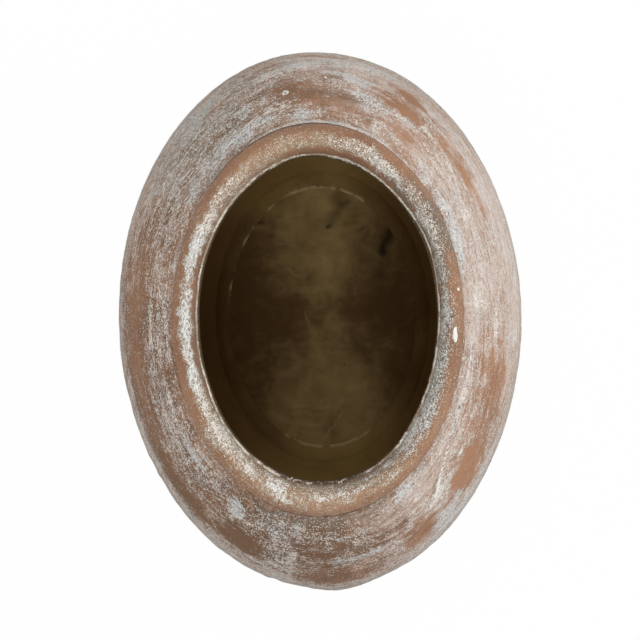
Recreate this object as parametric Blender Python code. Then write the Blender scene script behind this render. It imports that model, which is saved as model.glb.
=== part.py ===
"""An oval terracotta vase, built up from the sections that a potter lutes together.

Every section is turned round the Z axis from an outline, and its sides are then drawn in, so that
the vase is longer along X than along Y. An outline is a list of (reach, height) points, where reach
is how far the point lies from the axis at the vase's long ends. The vase stands on Z = 0.
"""

import math

import bmesh
import bpy

# Sizes of the whole vase, in metres: lengths run along X and widths along Y
HEIGHT = 0.250
BELLY_LENGTH = 0.280
BELLY_WIDTH = 0.210
BELLY_HEIGHT = 0.138
MOUTH_LENGTH = 0.1575
MOUTH_WIDTH = 0.1146
BASE_LENGTH = 0.170

# Shape of the side curves: leans and slopes in degrees, pulls are the lengths of the curve handles
FOOT_LEAN = 28.0
FOOT_PULL = 0.048
BELLY_PULL_DOWN = 0.050
BELLY_PULL_UP = 0.044
SHOULDER_SLOPE = 24.0
SHOULDER_PULL = 0.034

# Clay thicknesses, and the slip between neighbours at the long ends, which is thinner at the sides
WALL = 0.009
SHOULDER_EDGE = 0.0075
SLIP = 0.0004

# Floor slab: its rebated edge carries the wall, and a shallow recess leaves a foot ring below
FLOOR_HEIGHT = 0.013
SLAB_EDGE = 0.008
FOOT_ROUND = 0.003
FOOT_RING = 0.015
FOOT_RECESS = 0.002
RECESS_SLANT = 0.003

# Half-lap where the lower wall and the shoulder meet at the belly
LAP_HEIGHT = 0.008

# Collar that lines the shoulder's hole, with a spigot below it and a softened lip above
COLLAR_THICK = 0.0075
COLLAR_HEIGHT = 0.0058
SPIGOT_THICK = 0.003
SPIGOT_DEPTH = 0.005
LIP_SOFTENING = 0.0012

# Rolled rim that fits over the collar
RIM_THICK = 0.0147
RIM_HEIGHT = 0.015
RIM_SET_BACK = 0.0008
RIM_TUCK = 0.0012
RIM_SEAT_RISE = 0.0035

# Coils of soft clay pressed over the inner seams
FLOOR_COIL = 0.0062
BELLY_COIL_HEIGHT = 0.015
BELLY_COIL_THICK = 0.003
COIL_FEATHER = 0.0009

# Fineness of the turned faces
AROUND = 64
WALL_STEPS = 10
ROUND_STEPS = 5
SHARP_DEGREES = 32.0

# Reaches that several pieces share
BELLY_REACH = BELLY_LENGTH / 2
MOUTH_REACH = MOUTH_LENGTH / 2
SIDE_SHARE = (BELLY_WIDTH - MOUTH_WIDTH) / (BELLY_LENGTH - MOUTH_LENGTH)
SHELF_HEIGHT = HEIGHT - RIM_HEIGHT
RIM_INNER_REACH = MOUTH_REACH + RIM_SET_BACK
RIM_OUTER_REACH = RIM_INNER_REACH + RIM_THICK
CREASE_REACH = RIM_OUTER_REACH - RIM_TUCK
COLLAR_REACH = MOUTH_REACH + COLLAR_THICK
COLLAR_TOP = SHELF_HEIGHT + SLIP + COLLAR_HEIGHT
SPIGOT_REACH = MOUTH_REACH + SPIGOT_THICK


def side_curve(foot, foot_lean, foot_pull, belly_pull, above):
    """The four Bezier points from an end of the wall to the belly, where the curve runs upright."""
    belly = (BELLY_REACH, BELLY_HEIGHT)
    lean = math.radians(foot_lean)
    upward = -1.0 if above else 1.0
    foot_handle = (foot[0] + foot_pull * math.sin(lean), foot[1] + upward * foot_pull * math.cos(lean))
    belly_handle = (belly[0], belly[1] - upward * belly_pull)
    return foot, foot_handle, belly_handle, belly


LOWER_CURVE = side_curve((BASE_LENGTH / 2, 0.0), FOOT_LEAN, FOOT_PULL, BELLY_PULL_DOWN, above=False)
UPPER_CURVE = side_curve(
    (CREASE_REACH, SHELF_HEIGHT), 90.0 - SHOULDER_SLOPE, SHOULDER_PULL, BELLY_PULL_UP, above=True
)


def skin_point(curve, share, depth):
    """The point at a share of the curve, and at a depth inside the outer skin."""
    a, b, c, d = curve
    rest = 1.0 - share
    reach, height = (
        rest**3 * a[i] + 3 * rest**2 * share * b[i] + 3 * rest * share**2 * c[i] + share**3 * d[i]
        for i in range(2)
    )
    run, rise = (
        rest**2 * (b[i] - a[i]) + 2 * rest * share * (c[i] - b[i]) + share**2 * (d[i] - c[i])
        for i in range(2)
    )
    long = math.hypot(run, rise)
    outward = 1.0 if rise > 0 else -1.0
    return reach - outward * depth * rise / long, height + outward * depth * run / long


def share_at(curve, height, depth):
    """The share of the curve at which the skin, at that depth, reaches the height."""
    low, high = 0.0, 1.0
    rises = curve[3][1] > curve[0][1]
    for _ in range(40):
        middle = (low + high) / 2
        below = skin_point(curve, middle, depth)[1] < height
        if below == rises:
            low = middle
        else:
            high = middle
    return (low + high) / 2


def skin_reach(height, depth):
    """How far the skin, at that depth, reaches at the height."""
    curve = LOWER_CURVE if height < BELLY_HEIGHT else UPPER_CURVE
    return skin_point(curve, share_at(curve, height, depth), depth)[0]


def skin_run(curve, first, last, depth):
    """Points along the skin between two shares of the curve."""
    shares = (first + (last - first) * i / WALL_STEPS for i in range(WALL_STEPS + 1))
    return [skin_point(curve, share, depth) for share in shares]


def arc(centre, reach_radius, height_radius, first, last):
    """Points on an oval arc between two angles in degrees, measured from the outward direction."""
    points = []
    for i in range(ROUND_STEPS + 1):
        angle = math.radians(first + (last - first) * i / ROUND_STEPS)
        reach = centre[0] + reach_radius * math.cos(angle)
        points.append((reach, centre[1] + height_radius * math.sin(angle)))
    return points


def cove(start, corner, end):
    """Points on a hollow curve that leaves start towards the corner and bends round to the end."""
    points = []
    for i in range(ROUND_STEPS + 1):
        share = i / ROUND_STEPS
        rest = 1.0 - share
        weights = (rest**2, 2 * rest * share, share**2)
        reach, height = (sum(w * p[k] for w, p in zip(weights, (start, corner, end))) for k in range(2))
        points.append((reach, height))
    return points


def half_width(reach):
    """How far a ring of that reach comes out at the vase's drawn-in sides."""
    return MOUTH_WIDTH / 2 + SIDE_SHARE * (reach - MOUTH_REACH)


def draw_in_sides(bm):
    """Presses a round turned shape into the vase's oval."""
    for vert in bm.verts:
        reach = math.hypot(vert.co.x, vert.co.y)
        vert.co.y *= half_width(reach) / reach


def clay(name, colour, roughness):
    """A fired clay material."""
    material = bpy.data.materials.new(name)
    material.use_nodes = True
    shader = material.node_tree.nodes["Principled BSDF"]
    shader.inputs["Base Color"].default_value = (*colour, 1.0)
    shader.inputs["Roughness"].default_value = roughness
    shader.inputs["Metallic"].default_value = 0.0
    return material


def turned_piece(name, outline, seat, material, vase, solid_middle=False):
    """Turns an outline into a piece whose origin is on the axis, at the height of its seat.

    A ring's outline is closed. With solid_middle its two ends are capped instead, as on a slab.
    """
    bm = bmesh.new()
    corners = [bm.verts.new((reach, 0.0, height - seat)) for reach, height in outline]
    edges = [bm.edges.new(pair) for pair in zip(corners, corners[1:])]
    if not solid_middle:
        edges.append(bm.edges.new((corners[-1], corners[0])))
    bmesh.ops.spin(
        bm,
        geom=corners + edges,
        cent=(0, 0, 0),
        axis=(0, 0, 1),
        angle=2 * math.pi,
        steps=AROUND,
        use_merge=True,
    )
    draw_in_sides(bm)
    if solid_middle:
        bmesh.ops.holes_fill(bm, edges=[edge for edge in bm.edges if edge.is_boundary], sides=AROUND)
    bmesh.ops.recalc_face_normals(bm, faces=bm.faces)
    mesh = bpy.data.meshes.new(name)
    bm.to_mesh(mesh)
    bm.free()
    mesh.materials.append(material)
    mesh.shade_smooth()
    mesh.set_sharp_from_angle(angle=math.radians(SHARP_DEGREES))
    piece = bpy.data.objects.new(name, mesh)
    piece.location.z = seat
    piece.parent = vase
    bpy.context.collection.objects.link(piece)
    return piece


def floor_slab_outline():
    """From the recess below, round the foot, up the rebated edge to the floor inside."""
    edge_reach = skin_reach(SLAB_EDGE, 0.0)
    ring_reach = BASE_LENGTH / 2 - FOOT_RING
    foot_reach = skin_reach(FOOT_ROUND, 0.0)
    round_foot = arc((foot_reach - FOOT_ROUND, FOOT_ROUND), FOOT_ROUND, FOOT_ROUND, -90.0, 0.0)
    return [
        (ring_reach - RECESS_SLANT, FOOT_RECESS),
        (ring_reach, 0.0),
        *round_foot,
        (edge_reach, SLAB_EDGE),
        (skin_reach(SLAB_EDGE, WALL) - SLIP, SLAB_EDGE),
        (skin_reach(FLOOR_HEIGHT, WALL) - SLIP, FLOOR_HEIGHT),
    ]


def lower_wall_outline():
    """Up the outside from the slab's rebate to the belly, over the lap's tongue and down the inside."""
    foot = SLAB_EDGE + SLIP
    lap_reach = BELLY_REACH - (WALL + SLIP) / 2
    tongue_top = BELLY_HEIGHT + LAP_HEIGHT
    return [
        *skin_run(LOWER_CURVE, share_at(LOWER_CURVE, foot, 0.0), 1.0, 0.0),
        (lap_reach, BELLY_HEIGHT),
        (lap_reach, tongue_top),
        (skin_reach(tongue_top, WALL), tongue_top),
        *skin_run(LOWER_CURVE, 1.0, share_at(LOWER_CURVE, foot, WALL), WALL),
    ]


def shoulder_outline():
    """Up the outside from the belly to the crease, in over the rim's shelf and down the inside."""
    skirt = BELLY_HEIGHT + SLIP
    lap_reach = BELLY_REACH - (WALL - SLIP) / 2
    lap_top = skirt + LAP_HEIGHT
    hole_reach = SPIGOT_REACH + SLIP
    return [
        *skin_run(UPPER_CURVE, share_at(UPPER_CURVE, skirt, 0.0), 0.0, 0.0),
        (hole_reach, SHELF_HEIGHT),
        (hole_reach, SHELF_HEIGHT - SHOULDER_EDGE),
        *skin_run(UPPER_CURVE, 0.0, share_at(UPPER_CURVE, lap_top, WALL), WALL),
        (lap_reach, lap_top),
        (lap_reach, skirt),
    ]


def neck_collar_outline():
    """A band on the shoulder's shelf, with a spigot down the hole and a lip at the mouth."""
    seat = SHELF_HEIGHT + SLIP
    lip_centre = (MOUTH_REACH + LIP_SOFTENING, COLLAR_TOP - LIP_SOFTENING)
    lip = arc(lip_centre, LIP_SOFTENING, LIP_SOFTENING, 90.0, 180.0)
    return [
        (SPIGOT_REACH, seat - SPIGOT_DEPTH),
        (SPIGOT_REACH, seat),
        (COLLAR_REACH, seat),
        (COLLAR_REACH, COLLAR_TOP),
        *lip,
        (MOUTH_REACH, seat - SPIGOT_DEPTH),
    ]


def rolled_rim_outline():
    """A fat roll that stands on the shelf outside the collar and closes over its top."""
    seat = SHELF_HEIGHT + SLIP
    widest = seat + RIM_SEAT_RISE
    crest_reach = (RIM_INNER_REACH + RIM_OUTER_REACH) / 2
    half_roll = RIM_OUTER_REACH - crest_reach
    rebate_reach = COLLAR_REACH + SLIP
    rebate_height = COLLAR_TOP + SLIP
    outer_roll = arc((crest_reach, widest), half_roll, HEIGHT - widest, 0.0, 90.0)
    inner_roll = arc((crest_reach, rebate_height), half_roll, HEIGHT - rebate_height, 90.0, 180.0)
    return [
        (rebate_reach, seat),
        (CREASE_REACH, seat),
        *outer_roll,
        *inner_roll[1:],
        (rebate_reach, rebate_height),
    ]


def floor_coil_outline():
    """A coil pressed into the corner between the floor and the wall, wiped hollow with a finger."""
    seat = FLOOR_HEIGHT + SLIP
    top = seat + FLOOR_COIL
    seat_reach = skin_reach(seat, WALL) - SLIP
    top_reach = skin_reach(top, WALL) - SLIP
    inner_reach = seat_reach - FLOOR_COIL
    toe = seat + COIL_FEATHER
    wiped = cove((top_reach - COIL_FEATHER, top), (seat_reach - COIL_FEATHER, toe), (inner_reach, toe))
    return [(seat_reach, seat), (top_reach, top), *wiped, (inner_reach, seat)]


def belly_coil_outline():
    """A flattened coil over the inner seam of the lap."""
    seam = BELLY_HEIGHT + LAP_HEIGHT
    wall_side = []
    room_side = []
    for i in range(ROUND_STEPS + 1):
        share = i / ROUND_STEPS
        height = seam + BELLY_COIL_HEIGHT * (share - 0.5)
        reach = skin_reach(height, WALL) - SLIP
        swell = COIL_FEATHER + (BELLY_COIL_THICK - COIL_FEATHER) * math.sin(math.pi * share)
        wall_side.append((reach, height))
        room_side.append((reach - swell, height))
    return wall_side + room_side[::-1]


def build_vase():
    """Clears the scene and builds every section under one empty."""
    for old in list(bpy.data.objects):
        bpy.data.objects.remove(old, do_unlink=True)
    vase = bpy.data.objects.new("vase", None)
    bpy.context.collection.objects.link(vase)
    floor_clay = clay("floor_clay", (0.110, 0.072, 0.030), 0.55)
    lower_clay = clay("lower_wall_clay", (0.330, 0.185, 0.120), 0.90)
    shoulder_clay = clay("shoulder_clay", (0.340, 0.195, 0.130), 0.90)
    collar_clay = clay("collar_clay", (0.300, 0.160, 0.098), 0.90)
    rim_clay = clay("rim_clay", (0.360, 0.200, 0.125), 0.88)
    seam_clay = clay("seam_clay", (0.190, 0.130, 0.070), 0.70)
    turned_piece("floor_slab", floor_slab_outline(), 0.0, floor_clay, vase, solid_middle=True)
    turned_piece("lower_wall", lower_wall_outline(), SLAB_EDGE, lower_clay, vase)
    turned_piece("shoulder_wall", shoulder_outline(), BELLY_HEIGHT, shoulder_clay, vase)
    turned_piece("neck_collar", neck_collar_outline(), SHELF_HEIGHT, collar_clay, vase)
    turned_piece("rolled_rim", rolled_rim_outline(), SHELF_HEIGHT, rim_clay, vase)
    turned_piece("floor_seam_coil", floor_coil_outline(), FLOOR_HEIGHT, seam_clay, vase)
    turned_piece("belly_seam_coil", belly_coil_outline(), BELLY_HEIGHT + LAP_HEIGHT, seam_clay, vase)


build_vase()
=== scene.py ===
"""The looks of an oval terracotta vase: hand-turned clay, a rubbed whitewash and a sealed inside.

Places on the vase are given the way a potter would point at them. A turn is an angle in degrees round the
mouth, from the long axis (+X) towards -Y. Down is the way along the outer skin from the crease under the
rim, and grows towards the foot. An inset is the way in from the outer edge of the rim or of the floor.
Lengths are in metres, and in millimetres where a name or a table says so.
"""

import logging
import math
from dataclasses import dataclass, field, replace
from enum import Enum

import bpy
import numpy as np
from mathutils import Matrix, Vector


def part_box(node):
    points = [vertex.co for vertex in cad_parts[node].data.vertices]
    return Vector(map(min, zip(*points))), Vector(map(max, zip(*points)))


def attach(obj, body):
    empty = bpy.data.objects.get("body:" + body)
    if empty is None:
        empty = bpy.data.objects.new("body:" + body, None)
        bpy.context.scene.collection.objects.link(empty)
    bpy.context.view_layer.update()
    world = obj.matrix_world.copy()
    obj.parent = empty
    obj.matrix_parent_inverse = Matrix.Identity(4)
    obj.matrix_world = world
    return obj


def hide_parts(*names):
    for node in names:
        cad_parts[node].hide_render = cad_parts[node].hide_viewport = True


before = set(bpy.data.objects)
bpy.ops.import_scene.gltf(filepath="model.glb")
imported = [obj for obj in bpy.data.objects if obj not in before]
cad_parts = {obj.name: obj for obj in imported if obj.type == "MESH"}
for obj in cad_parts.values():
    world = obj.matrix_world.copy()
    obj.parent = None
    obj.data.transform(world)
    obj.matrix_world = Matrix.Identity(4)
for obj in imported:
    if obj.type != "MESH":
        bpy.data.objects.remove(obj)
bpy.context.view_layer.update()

MM = 0.001
Colour = tuple[float, float, float]
Socket = bpy.types.NodeSocket
Feed = Socket | float | Colour

log = logging.getLogger("vase")


class Skin(Enum):
    """The finish that a stretch of a section's outline takes, as its material's place on the piece."""

    WASHED = 0
    SEALED = 1
    BARE = 2


class Coat(Enum):
    """What a brush or a rag has done to one place on the outside, and where shade or sheen is painted on it.
    """

    WASH = "dry-brushed wash that sits on the grain"
    CHALK = "wash that dried blue-white"
    FILM = "thin milky wash that dried smooth"
    ASH = "thin grey wash"
    RUBBED = "wash rubbed back to the clay"
    # Partly a thin grey wash and partly a painted sheen along the outline, where the wall turns from view.
    UMBER = "clay that fired darker"
    CHIP = "a blob of thick wash"
    # Partly dark dirt in a few dots, and partly painted shade: a dark line in the crease under the rim and a
    # painted shadow under a scrape.
    DIRT_AND_SHADE = "dark dirt caught in a corner"


def smooth_step(low: float, high: float, value: np.ndarray) -> np.ndarray:
    """Eases a value from 0 to 1.

    Args:
        low: where the result leaves 0.
        high: where the result reaches 1.
        value: what is eased.

    Returns:
        The eased values, from 0 to 1.
    """
    share = np.clip((value - low) / (high - low), 0.0, 1.0)
    return share * share * (3.0 - 2.0 * share)


def turn_gap(turns: np.ndarray, turn: float) -> np.ndarray:
    """How far each turn lies from one turn, the short way round.

    Args:
        turns: angles in radians.
        turn: the angle in degrees that they are measured from.

    Returns:
        Signed angles in radians, from -pi to pi.
    """
    return (turns - math.radians(turn) + math.pi) % (2 * math.pi) - math.pi


def arc_share(turns: np.ndarray, turn: float, spread: float, power: int = 4) -> np.ndarray:
    """How strongly an arc of the vase is picked out.

    Args:
        turns: angles in radians.
        turn: the middle of the arc, in degrees.
        spread: how far from its middle the arc fades, in degrees.
        power: how sharply it ends.

    Returns:
        Shares from 1, at its middle, to 0.
    """
    return np.exp(-((turn_gap(turns, turn) / math.radians(spread)) ** power))


class ClayNoise:
    """Smooth seeded noise in space, from -1 to 1, for what hands leave uneven."""

    TABLE = 4096
    PRIMES = (73856093, 19349663, 83492791)

    def __init__(self, seed: int) -> None:
        """Draws the lattice's values.

        Args:
            seed: the same seed gives the same noise.
        """
        self.values = np.random.default_rng(seed).uniform(-1.0, 1.0, self.TABLE)

    def at(self, places: np.ndarray, size: float | tuple[float, float, float]) -> np.ndarray:
        """The noise at some places.

        Args:
            places: points in space, in metres, along the last axis.
            size: how far apart the noise's lumps lie, alike or along each axis.

        Returns:
            One value for each place.
        """
        scaled = places / np.asarray(size)
        cell = np.floor(scaled).astype(np.int64)
        share = scaled - cell
        share = share**3 * (share * (share * 6 - 15) + 10)
        total = np.zeros(places.shape[:-1])
        for corner in np.ndindex(2, 2, 2):
            key = np.zeros(places.shape[:-1], np.int64)
            weight = np.ones(places.shape[:-1])
            for axis, step in enumerate(corner):
                key ^= (cell[..., axis] + step) * self.PRIMES[axis]
                weight = weight * (share[..., axis] if step else 1.0 - share[..., axis])
            total += weight * self.values[key % self.TABLE]
        return total

    def rough(self, places: np.ndarray, size: float, layers: int = 3) -> np.ndarray:
        """Noise with finer noise upon it.

        Args:
            places: points in space, in metres, along the last axis.
            size: the size of the coarsest lumps.
            layers: how many sizes are laid over each other, each half as large and half as strong.

        Returns:
            One value for each place, mostly from -1 to 1.
        """
        total = np.zeros(places.shape[:-1])
        for layer in range(layers):
            total += self.at(places + layer, size / 2**layer) / 2**layer
        return total


@dataclass(frozen=True)
class SideCurve:
    """A Bezier curve of the outer skin, from one end of a wall to the belly, as (reach, height) points."""

    start: tuple[float, float]
    start_handle: tuple[float, float]
    belly_handle: tuple[float, float]
    belly: tuple[float, float]

    SAMPLES = 800

    def points(self, shares: np.ndarray, depth: float = 0.0) -> np.ndarray:
        """Points on the skin, or at a depth in the clay below it.

        Args:
            shares: how far along the curve each point lies, from 0 to 1.
            depth: how far inside the outer skin they lie.

        Returns:
            One (reach, height) row for each share.
        """
        a, b, c, d = (np.array(p) for p in (self.start, self.start_handle, self.belly_handle, self.belly))
        t = np.asarray(shares, float)[:, None]
        rest = 1.0 - t
        skin = rest**3 * a + 3 * rest**2 * t * b + 3 * rest * t**2 * c + t**3 * d
        slope = rest**2 * (b - a) + 2 * rest * t * (c - b) + t**2 * (d - c)
        slope /= np.linalg.norm(slope, axis=1, keepdims=True)
        slope *= np.sign(self.belly[1] - self.start[1])
        return skin + depth * np.stack([-slope[:, 1], slope[:, 0]], 1)

    def between(self, low: float, high: float, steps: int, depth: float = 0.0) -> np.ndarray:
        """Evenly spaced points of the skin between two heights.

        Args:
            low: the height of the first point.
            high: the height of the last point, which may be the lower one.
            steps: how many points there are.
            depth: how far inside the outer skin they lie.

        Returns:
            (reach, height) rows, in order.
        """
        fine = self.points(np.linspace(0, 1, self.SAMPLES), depth)
        order = np.argsort(fine[:, 1])
        heights = fine[order, 1]
        reaches = fine[order, 0]
        run = np.concatenate([[0], np.cumsum(np.hypot(*np.diff(fine[order], axis=0).T))])
        ends = np.interp([low, high], heights, run)
        wanted = np.linspace(*ends, steps)
        return np.stack([np.interp(wanted, run, reaches), np.interp(wanted, run, heights)], 1)


@dataclass(frozen=True)
class VaseForm:
    """The sizes that the sections share, read from the frame where a node's box gives them."""

    belly_reach: float
    belly_half_width: float
    belly_height: float
    shelf_height: float
    rim_outer_reach: float
    rim_top: float
    collar_reach: float
    slab_edge: float
    floor_height: float
    mouth_reach: float = 0.07875
    mouth_half_width: float = 0.0573
    base_reach: float = 0.085
    wall: float = 0.009
    slip: float = 0.0004
    rim_tuck: float = 0.0012
    lap_height: float = 0.008
    collar_height: float = 0.0058
    foot_handle: tuple[float, float] = (0.02253, 0.04238)
    shoulder_handle: tuple[float, float] = (0.03106, -0.01383)
    belly_pull_down: float = 0.050
    belly_pull_up: float = 0.044

    @classmethod
    def from_frame(cls) -> "VaseForm":
        """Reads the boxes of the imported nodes.

        Returns:
            The form.
        """
        shoulder_low, shoulder_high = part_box("shoulder_wall")
        rim_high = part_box("rolled_rim")[1]
        slip = cls.slip
        return cls(
            belly_reach=shoulder_high.x,
            belly_half_width=shoulder_high.y,
            belly_height=shoulder_low.z - slip,
            shelf_height=shoulder_high.z,
            rim_outer_reach=rim_high.x,
            rim_top=rim_high.z,
            collar_reach=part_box("neck_collar")[1].x,
            slab_edge=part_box("lower_wall")[0].z - slip,
            floor_height=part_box("floor_slab")[1].z,
        )

    @property
    def crease_reach(self) -> float:
        """How far the crease under the rim lies from the axis."""
        return self.rim_outer_reach - self.rim_tuck

    @property
    def collar_seat(self) -> float:
        """The height that the collar's band stands at, on the slip over the shelf."""
        return self.shelf_height + self.slip

    @property
    def collar_top(self) -> float:
        """The height of the collar's top, which the rim's rebate closes over."""
        return self.collar_seat + self.collar_height

    @property
    def lower_curve(self) -> SideCurve:
        """The outer skin from the foot up to the belly.

        Returns:
            Its curve.
        """
        foot = (self.base_reach, 0.0)
        handle = (foot[0] + self.foot_handle[0], foot[1] + self.foot_handle[1])
        belly = (self.belly_reach, self.belly_height)
        return SideCurve(foot, handle, (belly[0], belly[1] - self.belly_pull_down), belly)

    @property
    def upper_curve(self) -> SideCurve:
        """The outer skin from the crease down to the belly.

        Returns:
            Its curve.
        """
        crease = (self.crease_reach, self.shelf_height)
        handle = (crease[0] + self.shoulder_handle[0], crease[1] + self.shoulder_handle[1])
        belly = (self.belly_reach, self.belly_height)
        return SideCurve(crease, handle, (belly[0], belly[1] + self.belly_pull_up), belly)

    @property
    def side_share(self) -> float:
        """How much a ring gains at the vase's sides for each metre that it gains at its long ends."""
        return (self.belly_half_width - self.mouth_half_width) / (self.belly_reach - self.mouth_reach)

    def half_width(self, reach: np.ndarray) -> np.ndarray:
        """How far rings of those reaches come out at the drawn-in sides."""
        return self.mouth_half_width + self.side_share * (reach - self.mouth_reach)

    def skin_reach(self, height: float, depth: float) -> float:
        """How far the lower wall's skin, at that depth, reaches at a height."""
        return float(self.lower_curve.between(height, height, 1, depth)[0, 0])


@dataclass(frozen=True)
class Stretch:
    """A run of a section's outline: (reach, height) rows, their finish, and how much hand work they show."""

    points: np.ndarray
    skin: Skin
    lively: float = 0.0


def straight(start: tuple[float, float], end: tuple[float, float], steps: int) -> np.ndarray:
    """Points on a straight run of an outline.

    Args:
        start: its first point.
        end: its last point.
        steps: how many points it has.

    Returns:
        (reach, height) rows.
    """
    return np.linspace(start, end, steps)


def oval_arc(
    centre: tuple[float, float], radii: tuple[float, float], first: float, last: float, steps: int
) -> np.ndarray:
    """Points on an oval arc of an outline.

    Args:
        centre: the oval's centre.
        radii: its half sizes outward and upward.
        first: the angle of the first point, in degrees from the outward direction.
        last: the angle of the last point.
        steps: how many points it has.

    Returns:
        (reach, height) rows.
    """
    angles = np.radians(np.linspace(first, last, steps))
    return np.stack([centre[0] + radii[0] * np.cos(angles), centre[1] + radii[1] * np.sin(angles)], 1)


class TurnedGrid:
    """A section as turned: points in rows along its outline and in columns round the axis."""

    def __init__(self, form: VaseForm, stretches: list[Stretch], around: int, ring: bool = True) -> None:
        """Turns the outline and draws its sides in.

        Args:
            form: the vase's shared sizes.
            stretches: the outline, up the outside and down the inside.
            around: how many columns there are.
            ring: whether the outline closes on itself. If not, its ends are capped at the axis.
        """
        self.ring = ring
        self.reach, self.height = np.concatenate([s.points for s in stretches]).T
        counts = [len(s.points) for s in stretches]
        self.skin = np.repeat([s.skin.value for s in stretches], counts)
        self.lively = np.repeat([s.lively for s in stretches], counts)
        steps = np.hypot(np.diff(self.reach), np.diff(self.height))
        self.run = np.concatenate([[0], np.cumsum(steps)])[:, None]
        self.turn = np.linspace(0, 2 * math.pi, around, endpoint=False)[None]
        half = form.half_width(self.reach)
        cos, sin = np.cos(self.turn), np.sin(self.turn)
        level = np.repeat(self.height[:, None], around, 1)
        self.place = np.stack([self.reach[:, None] * cos, -half[:, None] * sin, level], -1)
        slopes = np.concatenate([np.gradient(s.points, axis=0) for s in stretches])
        along = np.stack(
            [
                slopes[:, :1] * cos,
                -form.side_share * slopes[:, :1] * sin,
                np.repeat(slopes[:, 1:], around, 1),
            ],
            -1,
        )
        round_ring = np.stack(
            [-self.reach[:, None] * sin, -half[:, None] * cos, np.zeros_like(level)],
            -1,
        )
        self.pace = np.linalg.norm(round_ring, axis=-1)
        outward = np.cross(along, round_ring)
        self.normal = outward / np.linalg.norm(outward, axis=-1, keepdims=True)
        self.fields: dict[str, np.ndarray] = {}

    def wrapped(self, down: np.ndarray, reach: float = 0.12) -> np.ndarray:
        """Places for patterns that run round the vase without a seam.

        Args:
            down: how far down its skin each row lies.
            reach: the radius of the drum that the pattern is wrapped on.

        Returns:
            Points in space: two axes run round the drum, and the third runs down the skin.
        """
        flat = np.broadcast_to(down, self.place.shape[:2])
        return np.stack(
            [
                reach * np.cos(self.turn) + 0 * flat,
                reach * np.sin(self.turn) + 0 * flat,
                flat,
            ],
            -1,
        )

    def has(self, skin: Skin) -> np.ndarray:
        """Which rows carry that finish."""
        return (self.skin == skin.value)[:, None]

    def push(self, depth: np.ndarray) -> None:
        """Moves the lively points out along their normals by a depth, or in where it is negative."""
        self.place = self.place + self.normal * (depth * self.lively[:, None])[..., None]

    def draw_in(self, depth: np.ndarray) -> None:
        """Moves the lively points level towards the axis by a depth, or away where it is negative.

        Args:
            depth: how far in each point moves, in metres.
        """
        flat = self.place * (1.0, 1.0, 0.0)
        outward = flat / np.linalg.norm(flat, axis=-1, keepdims=True)
        self.place = self.place - outward * (depth * self.lively[:, None])[..., None]

    def faces(self) -> tuple[list[tuple[int, ...]], np.ndarray]:
        """The mesh's faces, with their finish.

        Returns:
            The faces as rows of point numbers, and each face's material number.
        """
        rows, around = self.place.shape[:2]
        last = rows if self.ring else rows - 1
        here = np.arange(last)[:, None] * around
        above = (np.arange(1, last + 1) % rows)[:, None] * around
        column = np.arange(around)[None]
        beside = (column + 1) % around
        quads = np.stack([here + column, above + column, above + beside, here + beside], -1).reshape(-1, 4)
        skins = np.repeat(np.minimum(self.skin[:last], self.skin[np.arange(1, last + 1) % rows]), around)
        caps = []
        if not self.ring:
            first, final = rows * around, rows * around + 1
            top = (rows - 1) * around
            for j in range(around):
                k = (j + 1) % around
                caps += [(first, j, k), (top + j, final, top + k)]
            skins = np.concatenate([skins, np.tile([self.skin[0], self.skin[-1]], around)])
        return quads.tolist() + caps, skins

    def to_object(self, name: str, materials: list[bpy.types.Material], sharp: float) -> bpy.types.Object:
        """Makes the mesh.

        Args:
            name: the piece's name.
            materials: its finishes, in the order of Skin.
            sharp: the angle in degrees above which an edge shades hard.

        Returns:
            The new object, in the scene.
        """
        points = self.place.reshape(-1, 3)
        fields = {key: np.broadcast_to(value, self.place.shape[:2] + value.shape[2:])
                  for key, value in self.fields.items()}
        flat = {key: value.reshape(len(points), -1) for key, value in fields.items()}
        if not self.ring:
            around = self.place.shape[1]
            ends = (slice(0, around), slice(-around, None))
            flat = {
                key: np.concatenate([value, *(value[end].mean(0, keepdims=True) for end in ends)])
                for key, value in flat.items()
            }
            points = np.concatenate([points, *(points[e].mean(0, keepdims=True) for e in ends)])
        faces, skins = self.faces()
        mesh = bpy.data.meshes.new(name)
        mesh.from_pydata(points.tolist(), [], faces)
        for material in materials:
            mesh.materials.append(material)
        mesh.polygons.foreach_set("material_index", skins.astype(np.int32))
        for key, values in flat.items():
            kind, slot = ("FLOAT_VECTOR", "vector") if values.shape[1] == 3 else ("FLOAT", "value")
            mesh.attributes.new(key, kind, "POINT").data.foreach_set(slot, values.astype(np.float32).ravel())
        mesh.shade_smooth()
        mesh.set_sharp_from_angle(angle=math.radians(sharp))
        mesh.update()
        piece = bpy.data.objects.new(name, mesh)
        bpy.context.scene.collection.objects.link(piece)
        return piece


@dataclass(frozen=True)
class Patch:
    """One place that a brush or a rag has touched: a soft-edged oval, with sizes in millimetres."""

    turn: float
    down: float
    long: float
    wide: float
    strength: float
    lean: float = 0.0
    coat: Coat = Coat.WASH

    FRAY = (0.45, 0.35)
    EDGE = (0.25, 1.30)

    def shape(self, grid: TurnedGrid, down: np.ndarray, fray: tuple[np.ndarray, np.ndarray]) -> np.ndarray:
        """How strongly the patch lies on each point.

        Args:
            grid: the surface that it lies on.
            down: how far down the skin the grid's points lie, in metres.
            fray: noise that makes its edge uneven, along and across.

        Returns:
            Shares from 0, outside it, to 1, at its middle.
        """
        ahead = turn_gap(grid.turn, self.turn) * grid.pace / MM
        below = down / MM - self.down
        cos, sin = math.cos(math.radians(self.lean)), math.sin(math.radians(self.lean))
        u = (ahead * cos + below * sin) / (self.long / 2) + self.FRAY[0] * fray[0]
        v = (below * cos - ahead * sin) / (self.wide / 2) + self.FRAY[1] * fray[1]
        return 1.0 - smooth_step(*self.EDGE, np.sqrt(u * u + v * v))


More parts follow.
